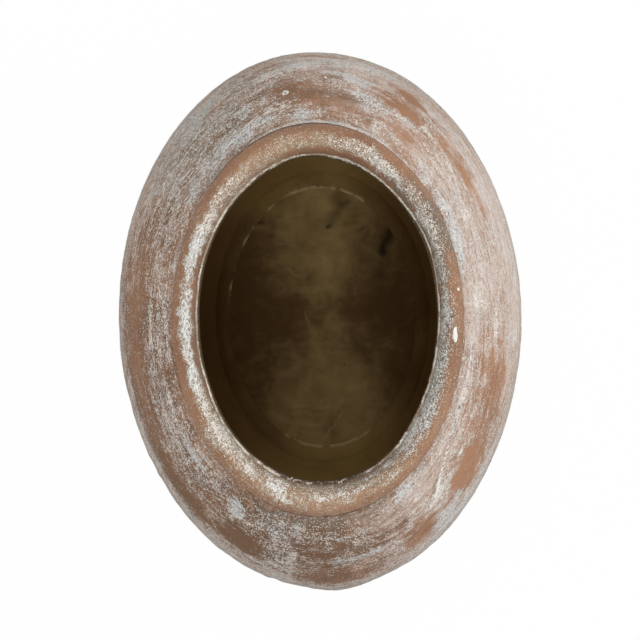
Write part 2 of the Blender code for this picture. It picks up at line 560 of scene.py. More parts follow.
def hatch(first: Patch, count: int, apart: float) -> list[Patch]:
    """Fine scratches of wash side by side.

    Args:
        first: the scratch nearest the start of the turn.
        count: how many there are.
        apart: how far they lie apart round the vase, in degrees.

    Returns:
        The scratches.
    """
    return [replace(first, turn=first.turn + apart * (i - (count - 1) / 2)) for i in range(count)]


@dataclass
class WashCoat:
    """The whitewash on one section: where it lies, by listed patches and strokes drawn by chance."""

    patches: list[Patch]
    base: float
    strokes: int
    stroke_band: tuple[float, float]
    seed: int
    stroke_long: tuple[float, float] = (6.0, 30.0)
    stroke_wide: tuple[float, float] = (0.9, 3.2)
    mottle: float = 0.16
    contrast: float = 1.35
    fullest: float = 1.35

    def chance_strokes(self) -> list[Patch]:
        """Short brush strokes and rubs, spread over the band by a seeded draw.

        Returns:
            The strokes.
        """
        draw = np.random.default_rng(self.seed)
        return [
            Patch(
                turn=draw.uniform(0, 360),
                down=draw.uniform(*self.stroke_band),
                long=draw.uniform(*self.stroke_long),
                wide=draw.uniform(*self.stroke_wide),
                strength=draw.uniform(0.12, 0.42),
                lean=draw.normal(0, 7),
                coat=Coat.WASH if draw.random() < 0.6 else Coat.RUBBED,
            )
            for _ in range(self.strokes)
        ]

    def lay(self, grid: TurnedGrid, down: np.ndarray) -> None:
        """Writes the wash, the film and the darker clay into the grid's fields.

        Args:
            grid: the surface.
            down: how far down the skin its points lie, in metres.
        """
        noise = ClayNoise(self.seed)
        wrapped = grid.wrapped(down)
        brushed_ends = noise.at(wrapped + 4.0, (30 * MM, 30 * MM, 2.2 * MM))
        fray = (0.6 * noise.rough(wrapped, 9 * MM) + 0.7 * brushed_ends, noise.rough(wrapped + 1.0, 6 * MM))
        levels = {coat: np.zeros(grid.place.shape[:2]) for coat in Coat}
        for patch in self.patches + self.chance_strokes():
            levels[patch.coat] += patch.strength * patch.shape(grid, down, fray)
        clouds = noise.rough(wrapped + 2.0, 22 * MM) * 0.6
        drags = noise.at(wrapped + 3.0, (35 * MM, 35 * MM, 3 * MM)) * 0.5
        by_hand = self.contrast * (levels[Coat.WASH] + levels[Coat.CHALK] - levels[Coat.RUBBED])
        wash = self.base + self.mottle * (clouds + drags) + by_hand
        grid.fields["wash"] = self.fullest * np.tanh(wash / self.fullest)
        grid.fields["chalk"] = np.clip(1.6 * levels[Coat.CHALK], 0.0, 1.0)
        grid.fields["chip"] = np.clip(levels[Coat.CHIP], 0.0, 1.0)
        grid.fields["film"] = np.clip(levels[Coat.FILM] - 0.5 * levels[Coat.RUBBED], 0.0, 1.0)
        grid.fields["ash"] = np.clip(levels[Coat.ASH], 0.0, 1.0)
        grid.fields["umber"] = np.clip(levels[Coat.UMBER], 0.0, 1.0)
        # The dark coat is partly dirt and partly painted shade in the crease and under a scrape.
        grid.fields["dirt_and_shade"] = np.clip(levels[Coat.DIRT_AND_SHADE], 0.0, 1.0)
        grid.fields["turned"] = wrapped


@dataclass(frozen=True)
class Swell:
    """A place where the turned form stands proud of its oval, or short of it where out is negative."""

    turn: float
    spread: float
    out: float

    def depth(self, turn: np.ndarray) -> np.ndarray:
        """How far out it pushes each turn, in metres."""
        return self.out * MM * np.exp(-((np.degrees(turn_gap(turn, self.turn)) / self.spread) ** 2))


@dataclass(frozen=True)
class HandWork:
    """What the wheel and the hands left in the outer skin, as depths and sizes in metres."""

    wobble: float = 0.00030
    wobble_size: float = 0.060
    rings: float = 0.00014
    ring_wide: float = 0.0055
    ring_long: float = 0.080
    flutes: float = 0.00042
    flute_wide: float = 0.0046
    flute_tall: float = 0.020
    flute_turn: float = 205.0
    flute_spread: float = 62.0
    dabs: float = 0.00010
    dab_size: float = 0.0035
    flute_band: float = 0.045
    flute_least: float = 0.35
    swell_starts: tuple[float, float] = (0.02, 0.09)
    swell_ends: tuple[float, float] = (0.12, 0.02)
    swells: tuple[Swell, ...] = (
        Swell(8.0, 22.0, -1.5),
        Swell(118.0, 34.0, -0.6),
        Swell(177.0, 9.0, 2.0),
        Swell(232.0, 26.0, -0.4),
        Swell(322.0, 34.0, -0.6),
    )

    def depth(self, grid: TurnedGrid, down: np.ndarray, belly_down: float) -> np.ndarray:
        """How far out the skin lies from the turned form.

        Args:
            grid: the surface.
            down: how far down the skin its rows lie.
            belly_down: how far down the belly lies.

        Returns:
            Depths in metres.
        """
        noise = ClayNoise(11)
        wrapped = grid.wrapped(down)
        near_belly = np.exp(-(((down - belly_down) / self.flute_band) ** 2))
        swell = sum(s.depth(grid.turn) for s in self.swells) * smooth_step(*self.swell_starts, down)
        last, first = self.swell_ends
        swell = swell * smooth_step(belly_down + last, belly_down + first, down)
        rings = self.rings * noise.at(wrapped + 1.0, (self.ring_long, self.ring_long, self.ring_wide))
        flutes = noise.at(wrapped + 2.0, (self.flute_wide, self.flute_wide, self.flute_tall))
        near = arc_share(grid.turn, self.flute_turn, self.flute_spread, 2)
        reach_of_flutes = self.flute_least + (1.0 - self.flute_least) * near
        return (
            self.wobble * noise.at(wrapped, self.wobble_size)
            + swell
            + rings
            + self.flutes * flutes * near_belly * reach_of_flutes
            + self.dabs * noise.rough(wrapped + 3.0, self.dab_size, 2)
        )


class NodeBench:
    """Sets out and links the shader nodes of one material."""

    def __init__(self, name: str) -> None:
        """Starts a material.

        Args:
            name: the material's name.
        """
        self.material = bpy.data.materials.new(name)
        self.material.use_nodes = True
        self.tree = self.material.node_tree
        self.shader = self.tree.nodes["Principled BSDF"]

    def node(self, kind: str, feeds: dict[int | str, Feed], **settings: object) -> bpy.types.Node:
        """Adds a node.

        Args:
            kind: its type, without the leading ShaderNode.
            feeds: what goes into its inputs, by place or name.
            settings: its own properties.

        Returns:
            The node.
        """
        made = self.tree.nodes.new("ShaderNode" + kind)
        for key, value in settings.items():
            setattr(made, key, value)
        for key, value in feeds.items():
            self.feed(made.inputs[key], value)
        return made

    def feed(self, socket: Socket, value: Feed) -> None:
        """Links a socket into another, or sets a plain number or colour on it.

        Args:
            socket: the input.
            value: what goes into it.
        """
        if isinstance(value, Socket):
            self.tree.links.new(value, socket)
        elif socket.type == "RGBA":
            socket.default_value = (*value, 1.0)
        else:
            socket.default_value = value

    def field(self, name: str) -> Socket:
        """One of the piece's own fields: turned and bristles as a place, the others as a number."""
        out = self.node("Attribute", {}, attribute_name=name).outputs
        return out["Vector"] if name in ("turned", "bristles") else out["Fac"]

    def place(self) -> Socket:
        """Where the surface is, in metres in the frame."""
        return self.node("TexCoord", {}).outputs["Object"]

    def stretched(self, vector: Socket, sizes: tuple[float, float, float]) -> Socket:
        """The places divided by a size along each axis, for a noise of scale 1."""
        scale = tuple(1.0 / size for size in sizes)
        return self.node("Mapping", {"Vector": vector, "Scale": scale}).outputs["Vector"]

    def noise(self, vector: Socket, size: float, detail: float = 2.0, rough: float = 0.55,
              swirl: float = 0.0) -> Socket:
        """A noise pattern round 0.5.

        Args:
            vector: where it is read.
            size: how large its lumps are.
            detail: how many finer layers it has.
            rough: how strong these are.
            swirl: how much it is distorted.

        Returns:
            Its value.
        """
        feeds = {"Vector": vector, "Scale": 1.0 / size, "Detail": detail, "Roughness": rough}
        return self.node("TexNoise", {**feeds, "Distortion": swirl}).outputs[0]

    def grains(self, vector: Socket, size: float) -> Socket:
        """Separate grains of uneven strength, each strongest at its middle, round 0.5.

        Args:
            vector: where they are read.
            size: how far apart they lie.

        Returns:
            Their value.
        """
        cells = self.node("TexVoronoi", {"Vector": vector, "Scale": 1.0 / size}).outputs
        drawn = self.node("SeparateColor", {0: cells["Color"]}).outputs[0]
        return self.sum((0.40, drawn), (-0.45, cells["Distance"]), start=0.50)

    def shifted(self, vector: Socket) -> Socket:
        """The places moved aside, so that a second pattern doesn't follow the first."""
        return self.node("Mapping", {"Vector": vector, "Location": (0.37, 0.11, 0.23)}).outputs["Vector"]

    def sum(self, *terms: tuple[float, Socket], start: float = 0.0) -> Socket:
        """Adds sockets, each times its weight, to a start.

        Args:
            terms: the weights, each with its socket.
            start: what they are added to.

        Returns:
            The sum.
        """
        total: Feed = start
        for weight, socket in terms:
            total = self.node("Math", {0: socket, 1: weight, 2: total}, operation="MULTIPLY_ADD").outputs[0]
        return total

    def times(self, first: Feed, second: Feed) -> Socket:
        """The product of two values."""
        return self.node("Math", {0: first, 1: second}, operation="MULTIPLY").outputs[0]

    def window(self, value: Feed, low: Feed, high: Feed, bottom: Feed = 0.0, top: Feed = 1.0) -> Socket:
        """Eases a value.

        Args:
            value: what is eased.
            low: where the result is at its bottom.
            high: where the result is at its top.
            bottom: the result below the window.
            top: the result above the window.

        Returns:
            The eased value.
        """
        feeds = {0: value, 1: low, 2: high, 3: bottom, 4: top}
        return self.node("MapRange", feeds, interpolation_type="SMOOTHSTEP").outputs[0]

    def blend(self, share: Feed, below: Feed, above: Feed) -> Socket:
        """Lays one colour over another by a share."""
        return self.node("Mix", {0: share, 6: below, 7: above}, data_type="RGBA").outputs[2]

    def relief(self, *layers: tuple[float, Socket]) -> None:
        """Raises the surface by the layers, each a height in metres and the pattern that it raises.

        Args:
            layers: the heights, each with its pattern.
        """
        normal: Socket | None = None
        for height, pattern in layers:
            made = self.node("Bump", {"Height": pattern, "Distance": height, "Strength": 1.0})
            if normal is not None:
                self.feed(made.inputs["Normal"], normal)
            normal = made.outputs["Normal"]
        self.feed(self.shader.inputs["Normal"], normal)


@dataclass(frozen=True)
class WashedClay:
    """Fired clay under a whitewash that was dry-brushed on and rubbed back. Sizes are in metres."""

    name: str
    clay: Colour = (0.360, 0.182, 0.096)
    deep_clay: Colour = (0.262, 0.124, 0.062)
    umber: Colour = (0.150, 0.074, 0.032)
    dust: Colour = (0.470, 0.300, 0.200)
    cream: Colour = (0.765, 0.712, 0.645)
    chalk: Colour = (0.660, 0.668, 0.655)
    blob: Colour = (0.850, 0.830, 0.770)
    film: Colour = (0.660, 0.570, 0.515)
    # The grey is partly thin wash and partly a painted sheen along the outline.
    ash: Colour = (0.300, 0.298, 0.255)
    # Painted shade: the dark brown of the pits in the wash and of the crease, and also of a few dots of dirt.
    shade_and_dirt_brown: Colour = (0.085, 0.055, 0.032)
    speck: float = 0.00066
    lump: float = 0.0017
    pit_apart: float = 0.0006
    drag_long: float = 0.0030
    drag_wide: float = 0.0007
    bristle_long: float = 0.0140
    bristle_wide: float = 0.0010
    streak_long: float = 0.0200
    streak_wide: float = 0.0016
    clump: float = 0.0050
    speck_share: float = 0.88
    lump_share: float = 0.13
    drag_share: float = 0.31
    streak_share: float = 0.18
    bristle_share: float = 1.00
    wash_weight: float = 0.190
    bare_level: float = 0.125
    softness: float = 0.009
    haze: float = 0.48
    creamy: float = 0.10
    pitted: float = 0.672
    fleck_apart: float = 0.0010
    flecked: float = 0.735
    clay_rough: float = 0.92
    wash_rough: float = 0.82
    cloud: float = 0.030
    grain: float = 0.0006
    tint: float = 0.012
    patchy: float = 0.0015
    hollow: float = 0.0022
    wash_high: float = 0.00014
    chip_high: float = 0.00030
    grain_deep: float = 0.00012
    hollow_deep: float = 0.00012
    drag_deep: float = 0.00012
    streak_deep: float = 0.00020

    def ground(self, bench: NodeBench, grain: Socket, brushed: Socket) -> Socket:
        """The clay's colour with what dried thin upon it.

        Args:
            bench: the material's nodes.
            grain: the clay's fine grain.
            brushed: the brush's lines.

        Returns:
            The colour.
        """
        place = bench.place()
        clouds = bench.noise(place, self.cloud, 3.0, 0.55)
        clay = bench.blend(bench.window(clouds, 0.35, 0.65), self.deep_clay, self.clay)
        clay = bench.blend(bench.window(bench.field("umber"), 0.0, 1.0), clay, self.umber)
        clay = bench.blend(bench.window(grain, 0.40, 0.75, 0.0, 0.30), clay, self.dust)
        thin = bench.window(brushed, 0.37, 0.59, 0.38, 1.0)
        # The grey is partly thin wash and partly a painted sheen along the outline.
        clay = bench.blend(bench.times(bench.field("ash"), thin), clay, self.ash)
        clay = bench.blend(bench.times(bench.field("film"), thin), clay, self.film)
        wash, umber = bench.field("wash"), bench.field("umber")
        hazy = bench.sum((1.0, brushed), (0.16, wash), (-0.14, umber), start=-0.5)
        return bench.blend(bench.window(hazy, -0.06, 0.20, 0.0, self.haze), clay, self.film)

    def make(self) -> bpy.types.Material:
        """Builds the material.

        Returns:
            It, ready for a piece that has the fields turned and bristles, and one for each coat.
        """
        bench = NodeBench(self.name)
        place, turned, wash = bench.place(), bench.field("turned"), bench.field("wash")
        fine = bench.noise(place, self.speck * 0.8, 2.0, 0.7)
        speck = bench.sum((0.45, bench.grains(place, self.speck)), (0.55, fine))
        drag_size = (self.drag_long, self.drag_long, self.drag_wide)
        drag = bench.noise(bench.stretched(turned, drag_size), 1.0, 2.0, 0.6, 0.2)
        streak_size = (self.streak_long, self.streak_long, self.streak_wide)
        streak = bench.noise(bench.stretched(turned, streak_size), 1.0, 2.0, 0.55, 0.2)
        clump = bench.noise(place, self.clump, 3.0, 0.6)
        grain = bench.noise(place, self.grain, 3.0, 0.7)
        lump = bench.noise(place, self.lump, 2.0, 0.6)
        bristles = bench.field("bristles")
        bristle_size = (self.bristle_long, self.bristle_wide, 1000.0)
        lines = bench.noise(bench.stretched(bristles, bristle_size), 1.0, 2.0, 0.6)
        where = bench.node("SeparateXYZ", {0: bristles}).outputs[2]
        slanted = bench.times(where, bench.sum((1.0, lines), start=-0.5))
        shares = self.speck_share + self.lump_share + self.drag_share + 2 * self.streak_share
        level = bench.sum(
            (self.speck_share, speck),
            (self.lump_share, lump),
            (self.drag_share, drag),
            (self.streak_share, streak),
            (self.streak_share, clump),
            (self.bristle_share, slanted),
            (self.wash_weight, wash),
            start=-0.5 * shares - self.bare_level,
        )
        cover = bench.window(level, -self.softness, self.softness)
        ground = self.ground(bench, grain, bench.sum((0.55, drag), (0.45, streak)))
        tint = bench.noise(place, self.tint, 2.0)
        creamy = bench.sum((1.0, tint), (-0.40, bench.field("chalk")), start=self.creamy)
        paint = bench.blend(bench.window(creamy, 0.40, 0.60), self.chalk, self.cream)
        thick = bench.window(bench.noise(place, self.patchy, 2.0, 0.6), 0.25, 0.62, 0.55, 1.0)
        washed = bench.blend(bench.times(cover, thick), ground, paint)
        # Painted shade: dark ticks where pits in the wash lie in shade, with no relief of their own.
        ticks = bench.grains(bench.stretched(bench.shifted(turned), (1.7, 1.7, 1.0)), self.pit_apart)
        ash, film = bench.field("ash"), bench.field("film")
        holes = bench.sum((1.0, ticks), (0.06, wash), (0.065, ash), (-0.025, film))
        pitted = bench.window(holes, self.pitted, self.pitted + 0.05, 0.0, 0.66)
        washed = bench.blend(pitted, washed, self.shade_and_dirt_brown)
        crumbs = bench.grains(bench.shifted(bench.shifted(place)), self.fleck_apart)
        flecks = bench.sum((1.0, crumbs), (0.06, wash))
        flecked = bench.window(flecks, self.flecked, self.flecked + 0.02, 0.0, 0.62)
        washed = bench.blend(flecked, washed, self.blob)
        chipped = bench.window(bench.sum((1.0, bench.field("chip")), (0.7, speck), start=-0.35), 0.42, 0.52)
        washed = bench.blend(chipped, washed, self.blob)
        # Painted shade in the crease and under a scrape, with a few dots of dirt, laid over all.
        bench.feed(bench.shader.inputs["Base Color"], bench.blend(bench.field("dirt_and_shade"), washed, self.shade_and_dirt_brown))
        rough = bench.window(cover, 0.0, 1.0, self.clay_rough, self.wash_rough)
        bench.feed(bench.shader.inputs["Roughness"], rough)
        hollow = bench.noise(place, self.hollow, 2.0, 0.7)
        bench.relief(
            (self.wash_high, cover),
            (self.chip_high, chipped),
            (self.grain_deep, grain),
            (self.hollow_deep, bench.window(hollow, 0.30, 0.42)),
            (self.drag_deep, drag),
            (self.streak_deep, streak),
        )
        return bench.material


@dataclass(frozen=True)
class SealedClay:
    """Clay under the dark satin coat that holds water. Sizes are in metres."""

    name: str
    # Olive is partly painted light and brown partly painted shade: the field thick mixes them, olive at the
    # lit ends and brown at the shaded sides, and pools and strokes vary them at random.
    brown: Colour = (0.226, 0.130, 0.048)
    olive: Colour = (0.445, 0.302, 0.106)
    scuff: Colour = (0.560, 0.450, 0.230)
    stain: Colour = (0.026, 0.018, 0.009)
    gloss: float = 0.03
    pool: float = 0.045
    stroke_long: float = 0.030
    stroke_wide: float = 0.0022
    stroke_share: float = 0.15
    speck: float = 0.0011
    lump: float = 0.006
    lump_high: float = 0.0004
    stroke_deep: float = 0.00014
    speck_deep: float = 0.00005
    scuff_high: float = 0.0003

    def make(self) -> bpy.types.Material:
        """Builds the material.

        Returns:
            It, ready for a piece that has the fields turned, thick, scuff and stain.
        """
        bench = NodeBench(self.name)
        place, turned, scuff = bench.place(), bench.field("turned"), bench.field("scuff")
        pools = bench.noise(place, self.pool, 3.0, 0.55, 0.4)
        stroke_size = (self.stroke_long, self.stroke_long, self.stroke_wide)
        strokes = bench.noise(bench.stretched(turned, stroke_size), 1.0, 3.0, 0.55, 0.5)
        speck = bench.noise(place, self.speck, 2.0, 0.6)
        pool_share = 1.0 - self.stroke_share
        # thick is painted light and shade: the higher it is, the browner the coat.
        thick = bench.field("thick")
        tone = bench.sum((pool_share, pools), (self.stroke_share, strokes), (0.45, thick), start=-0.5)
        coat = bench.blend(bench.window(tone, -0.30, 0.60), self.olive, self.brown)
        scuffed = bench.window(bench.sum((1.0, scuff), (0.5, speck), start=-0.25), 0.16, 0.80, 0.0, 0.9)
        coat = bench.blend(scuffed, coat, self.scuff)
        coat = bench.blend(bench.field("stain"), coat, self.stain)
        bench.feed(bench.shader.inputs["Base Color"], coat)
        bench.feed(bench.shader.inputs["Specular IOR Level"], self.gloss)
        shine = bench.sum((0.30, strokes), (0.25, speck), start=0.26)
        bench.feed(bench.shader.inputs["Roughness"], bench.window(scuffed, 0.0, 1.0, shine, 0.8))
        lumps = bench.noise(place, self.lump, 2.0, 0.5)
        bench.relief(
            (self.lump_high, lumps),
            (self.stroke_deep, strokes),
            (self.speck_deep, speck),
            (self.scuff_high, scuff),
        )
        return bench.material


@dataclass(frozen=True)
class BareClay:
    """Unwashed fired clay, where a section beds on the next and under the foot. Sizes are in metres."""

    name: str
    clay: Colour = (0.385, 0.205, 0.125)
    deep_clay: Colour = (0.265, 0.125, 0.070)
    dust: Colour = (0.560, 0.430, 0.340)
    cloud: float = 0.028
    grain: float = 0.0009
    drag_long: float = 0.050
    drag_wide: float = 0.0012
    grain_deep: float = 0.00018
    drag_deep: float = 0.00016

    def make(self) -> bpy.types.Material:
        """Builds the material.

        Returns:
            It, ready for any piece.
        """
        bench = NodeBench(self.name)
        place = bench.place()
        clouds = bench.noise(place, self.cloud, 4.0, 0.6)
        grain = bench.noise(place, self.grain, 3.0, 0.7)
        drag_size = (self.drag_long, self.drag_wide, self.drag_wide)
        drag = bench.noise(bench.stretched(place, drag_size), 1.0, 3.0, 0.6)
        clay = bench.blend(bench.window(clouds, 0.36, 0.64), self.deep_clay, self.clay)
        dusty = bench.window(bench.sum((0.6, grain), (0.4, drag)), 0.50, 0.66, 0.0, 0.6)
        clay = bench.blend(dusty, clay, self.dust)
        bench.feed(bench.shader.inputs["Base Color"], clay)
        bench.feed(bench.shader.inputs["Roughness"], bench.window(grain, 0.3, 0.7, 0.96, 0.84))
        bench.relief((self.grain_deep, grain), (self.drag_deep, drag))
        return bench.material


@dataclass(frozen=True)
class Finishes:
    """The three finishes of one section, in the order of Skin."""

    washed: WashedClay
    sealed: SealedClay
    bare: BareClay

    def materials(self) -> list[bpy.types.Material]:
        """Builds them."""
        return [finish.make() for finish in (self.washed, self.sealed, self.bare)]


@dataclass
class ClaySection:
    """A section of the vase: what it stands for in the frame, and how finely it is turned."""

    form: VaseForm
    node: str
    slot: str
    around: int = 860
    ring: bool = True
    sharp: float = 42.0

    def stretches(self) -> list[Stretch]:
        """The section's outline, up the outside and down the inside."""
        raise NotImplementedError

    def work(self, grid: TurnedGrid) -> None:
        """Shapes the turned surface by hand."""

    def mark(self, grid: TurnedGrid) -> None:
        """Writes the fields that the finishes read."""

    def washed(self) -> WashedClay:
        """The whitewash on the outside."""
        return WashedClay(self.node + "_wash")

    def sealed(self) -> SealedClay:
        """The dark coat inside."""
        return SealedClay(self.node + "_seal")

    def finishes(self) -> Finishes:
        """The section's finishes, under names of its own."""
        return Finishes(self.washed(), self.sealed(), BareClay(self.node + "_bare"))

    def build(self) -> TurnedGrid:
        """Turns and shapes the section.

        Returns:
            Its surface.
        """
        grid = TurnedGrid(self.form, self.stretches(), self.around, self.ring)
        for name in ("wash", "chalk", "film", "ash", "umber", "dirt_and_shade", "chip", "scuff", "stain", "thick"):
            grid.fields[name] = np.zeros((1, 1))
        grid.fields["turned"] = grid.wrapped(grid.run)
        grid.fields["bristles"] = np.zeros((1, 1, 3))
        # Painted light and shade on the sealed inside: the field thick makes the coat brown towards the left
        # and right, where the inner walls lie in shade, and olive at the two ends, where light falls in
        # through the mouth.
        grid.fields["thick"] = smooth_step(0.20, 1.00, np.abs(np.sin(grid.turn)))
        self.work(grid)
        self.mark(grid)
        return grid

    def dress(self, grid: TurnedGrid) -> bpy.types.Object:
        """Makes the piece with its finishes, hangs it from the root body in its node's place, and hides the
        node.

        Args:
            grid: the section's surface.

        Returns:
            The piece.
        """
        piece = grid.to_object(self.node + "_clay", self.finishes().materials(), self.sharp)
        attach(piece, "root")
        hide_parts(self.node)
        log.info("%s: %d faces", piece.name, len(piece.data.polygons))
        return piece


